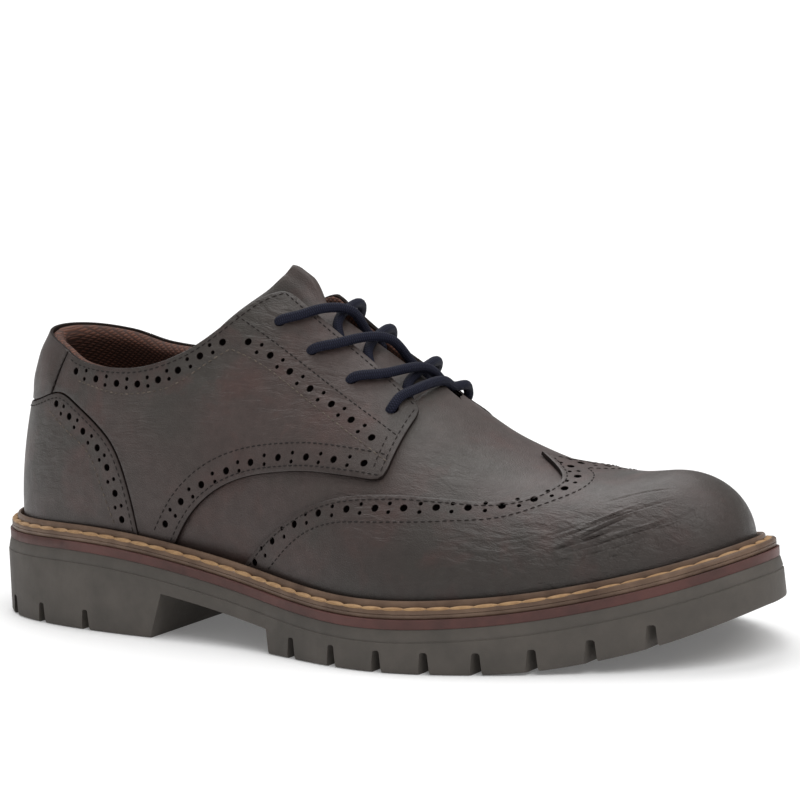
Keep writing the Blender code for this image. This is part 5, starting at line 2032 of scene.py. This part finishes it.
def build_welt_stitches():
    fine = np.linspace(0, FULL_TURN, 4001)
    lip_edge = welt_margin(fine) - COUNTER_THICKNESS - UPPER_WALL - GAP * 2 - LIP_LEAN
    inset = lip_edge - LIP_THICKNESS - 1.15 * MM
    x, y = outline(fine, inset)
    z = sole_top(x) + WELT_TOP - 0.15 * MM
    line = np.stack([x, y, z], -1)
    run = run_along(line)
    count = int(round(run[-1] / WELT_PITCH))
    at = (np.arange(count) + 0.5) * run[-1] / count
    step = run[-1] / count
    here = np.stack([np.interp(at, run, line[:, k]) for k in range(3)], -1)
    ahead = np.stack([np.interp(at + step * 0.1, run, line[:, k]) for k in range(3)], -1)
    runs = unit(ahead - here)
    outs = np.cross(runs, np.cross(np.array([0.0, 0.0, 1.0]), runs))
    bows = (1.25 * MM, 0.55 * MM, -0.2 * MM)
    stitch = lens_mesh("welt_stitch_shape", 9.2 * MM, 0.95 * MM, 0.55 * MM, 11, 8, bows)
    piece = sewn("welt_stitches", here, runs, outs, stitch, thread_tan)
    return dress(piece, "welt_brown", (thread_tan,))


build_outsole()
build_midsole()
build_welt()
build_insole()
build_vamp()
build_lining()
build_wing_cap()
for half in (LATERAL, MEDIAL):
    build_quarter(half)
build_counter()
build_heel_tab()
build_tongue()
build_lace()
build_seams()
build_welt_stitches()


# Floor, light and camera
def build_floor():
    mesh = bpy.data.meshes.new("studio_floor")
    far = 30.0
    corners = [(-far, -far, 0), (far, -far, 0), (far, far, 0), (-far, far, 0)]
    mesh.from_pydata(corners, [], [(0, 1, 2, 3)])
    floor = linked("studio_floor", mesh)
    pale = plain_finish("floor_pale", (0.90, 0.90, 0.90), (0.89, 0.89, 0.89), 0.9, 2, 0.0)
    shader = pale.node_tree.nodes["Principled BSDF"]
    shader.inputs["Emission Color"].default_value = (1, 1, 1, 1)
    shader.inputs["Emission Strength"].default_value = 0.12
    mesh.materials.append(pale)


def build_light():
    """Even surroundings, which the camera sees as white, and wide soft light from above."""
    world = bpy.data.worlds.new("studio")
    world.use_nodes = True
    tree = world.node_tree
    shown = tree.nodes["Background"]
    shown.inputs["Color"].default_value = (1, 1, 1, 1)
    shown.inputs["Strength"].default_value = 0.31
    white = tree.nodes.new("ShaderNodeBackground")
    white.inputs["Color"].default_value = (1, 1, 1, 1)
    white.inputs["Strength"].default_value = 1.0
    rays = tree.nodes.new("ShaderNodeLightPath")
    either = tree.nodes.new("ShaderNodeMixShader")
    tree.links.new(rays.outputs["Is Camera Ray"], either.inputs[0])
    tree.links.new(shown.outputs[0], either.inputs[1])
    tree.links.new(white.outputs[0], either.inputs[2])
    tree.links.new(either.outputs[0], tree.nodes["World Output"].inputs["Surface"])
    bpy.context.scene.world = world
    for name, place, spread, strength in (
        ("sky_light", (0.70, -0.15, 1.35), 60, 1.75),
        ("gloss_light", (-0.45, 0.32, 0.85), 46, 1.55),
    ):
        data = bpy.data.lights.new(name, "SUN")
        data.angle = math.radians(spread)
        data.energy = strength
        back = unit(np.array(place))
        right = unit(np.cross((0.0, 0.0, 1.0), back))
        linked(name, data).matrix_world = set_up(right, np.cross(back, right), back, place)


def set_up(right, up, back, place):
    """An object's place, with its own axes along three directions."""
    rows = np.column_stack([right, up, back, place])
    return Matrix([*rows.tolist(), [0, 0, 0, 1]])


SENSOR = 36
PHOTO_WIDTH = 800


def build_camera():
    """The photograph's view: turn, tilt and roll in degrees, distances in millimetres."""
    turn, tilt, roll = math.radians(33.934), math.radians(8.043), math.radians(-3.581)
    distance, focus, right_shift, up_shift = 1102.3, 3224.6, 12.777, 17.011
    level = math.cos(tilt)
    back = np.array([math.sin(turn) * level, -math.cos(turn) * level, math.sin(tilt)])
    right = np.array([math.cos(turn), math.sin(turn), 0.0])
    up = np.cross(right, -back)
    target = np.array([153.0, 0, 60.0]) + right_shift * right + up_shift * up
    place = target + distance * back - np.array([CENTRE_X, CENTRE_Y, 0]) * 1000
    across = math.cos(roll) * right + math.sin(roll) * up
    over_it = -math.sin(roll) * right + math.cos(roll) * up
    data = bpy.data.cameras.new("photo_camera")
    data.sensor_width = SENSOR
    data.lens = focus * SENSOR / PHOTO_WIDTH
    data.clip_start = 0.05
    data.clip_end = 100
    camera = linked("photo_camera", data)
    camera.matrix_world = set_up(across, over_it, back, place * MM)
    bpy.context.scene.camera = camera


build_floor()
build_light()
build_camera()
bpy.context.scene.view_settings.view_transform = "Standard"
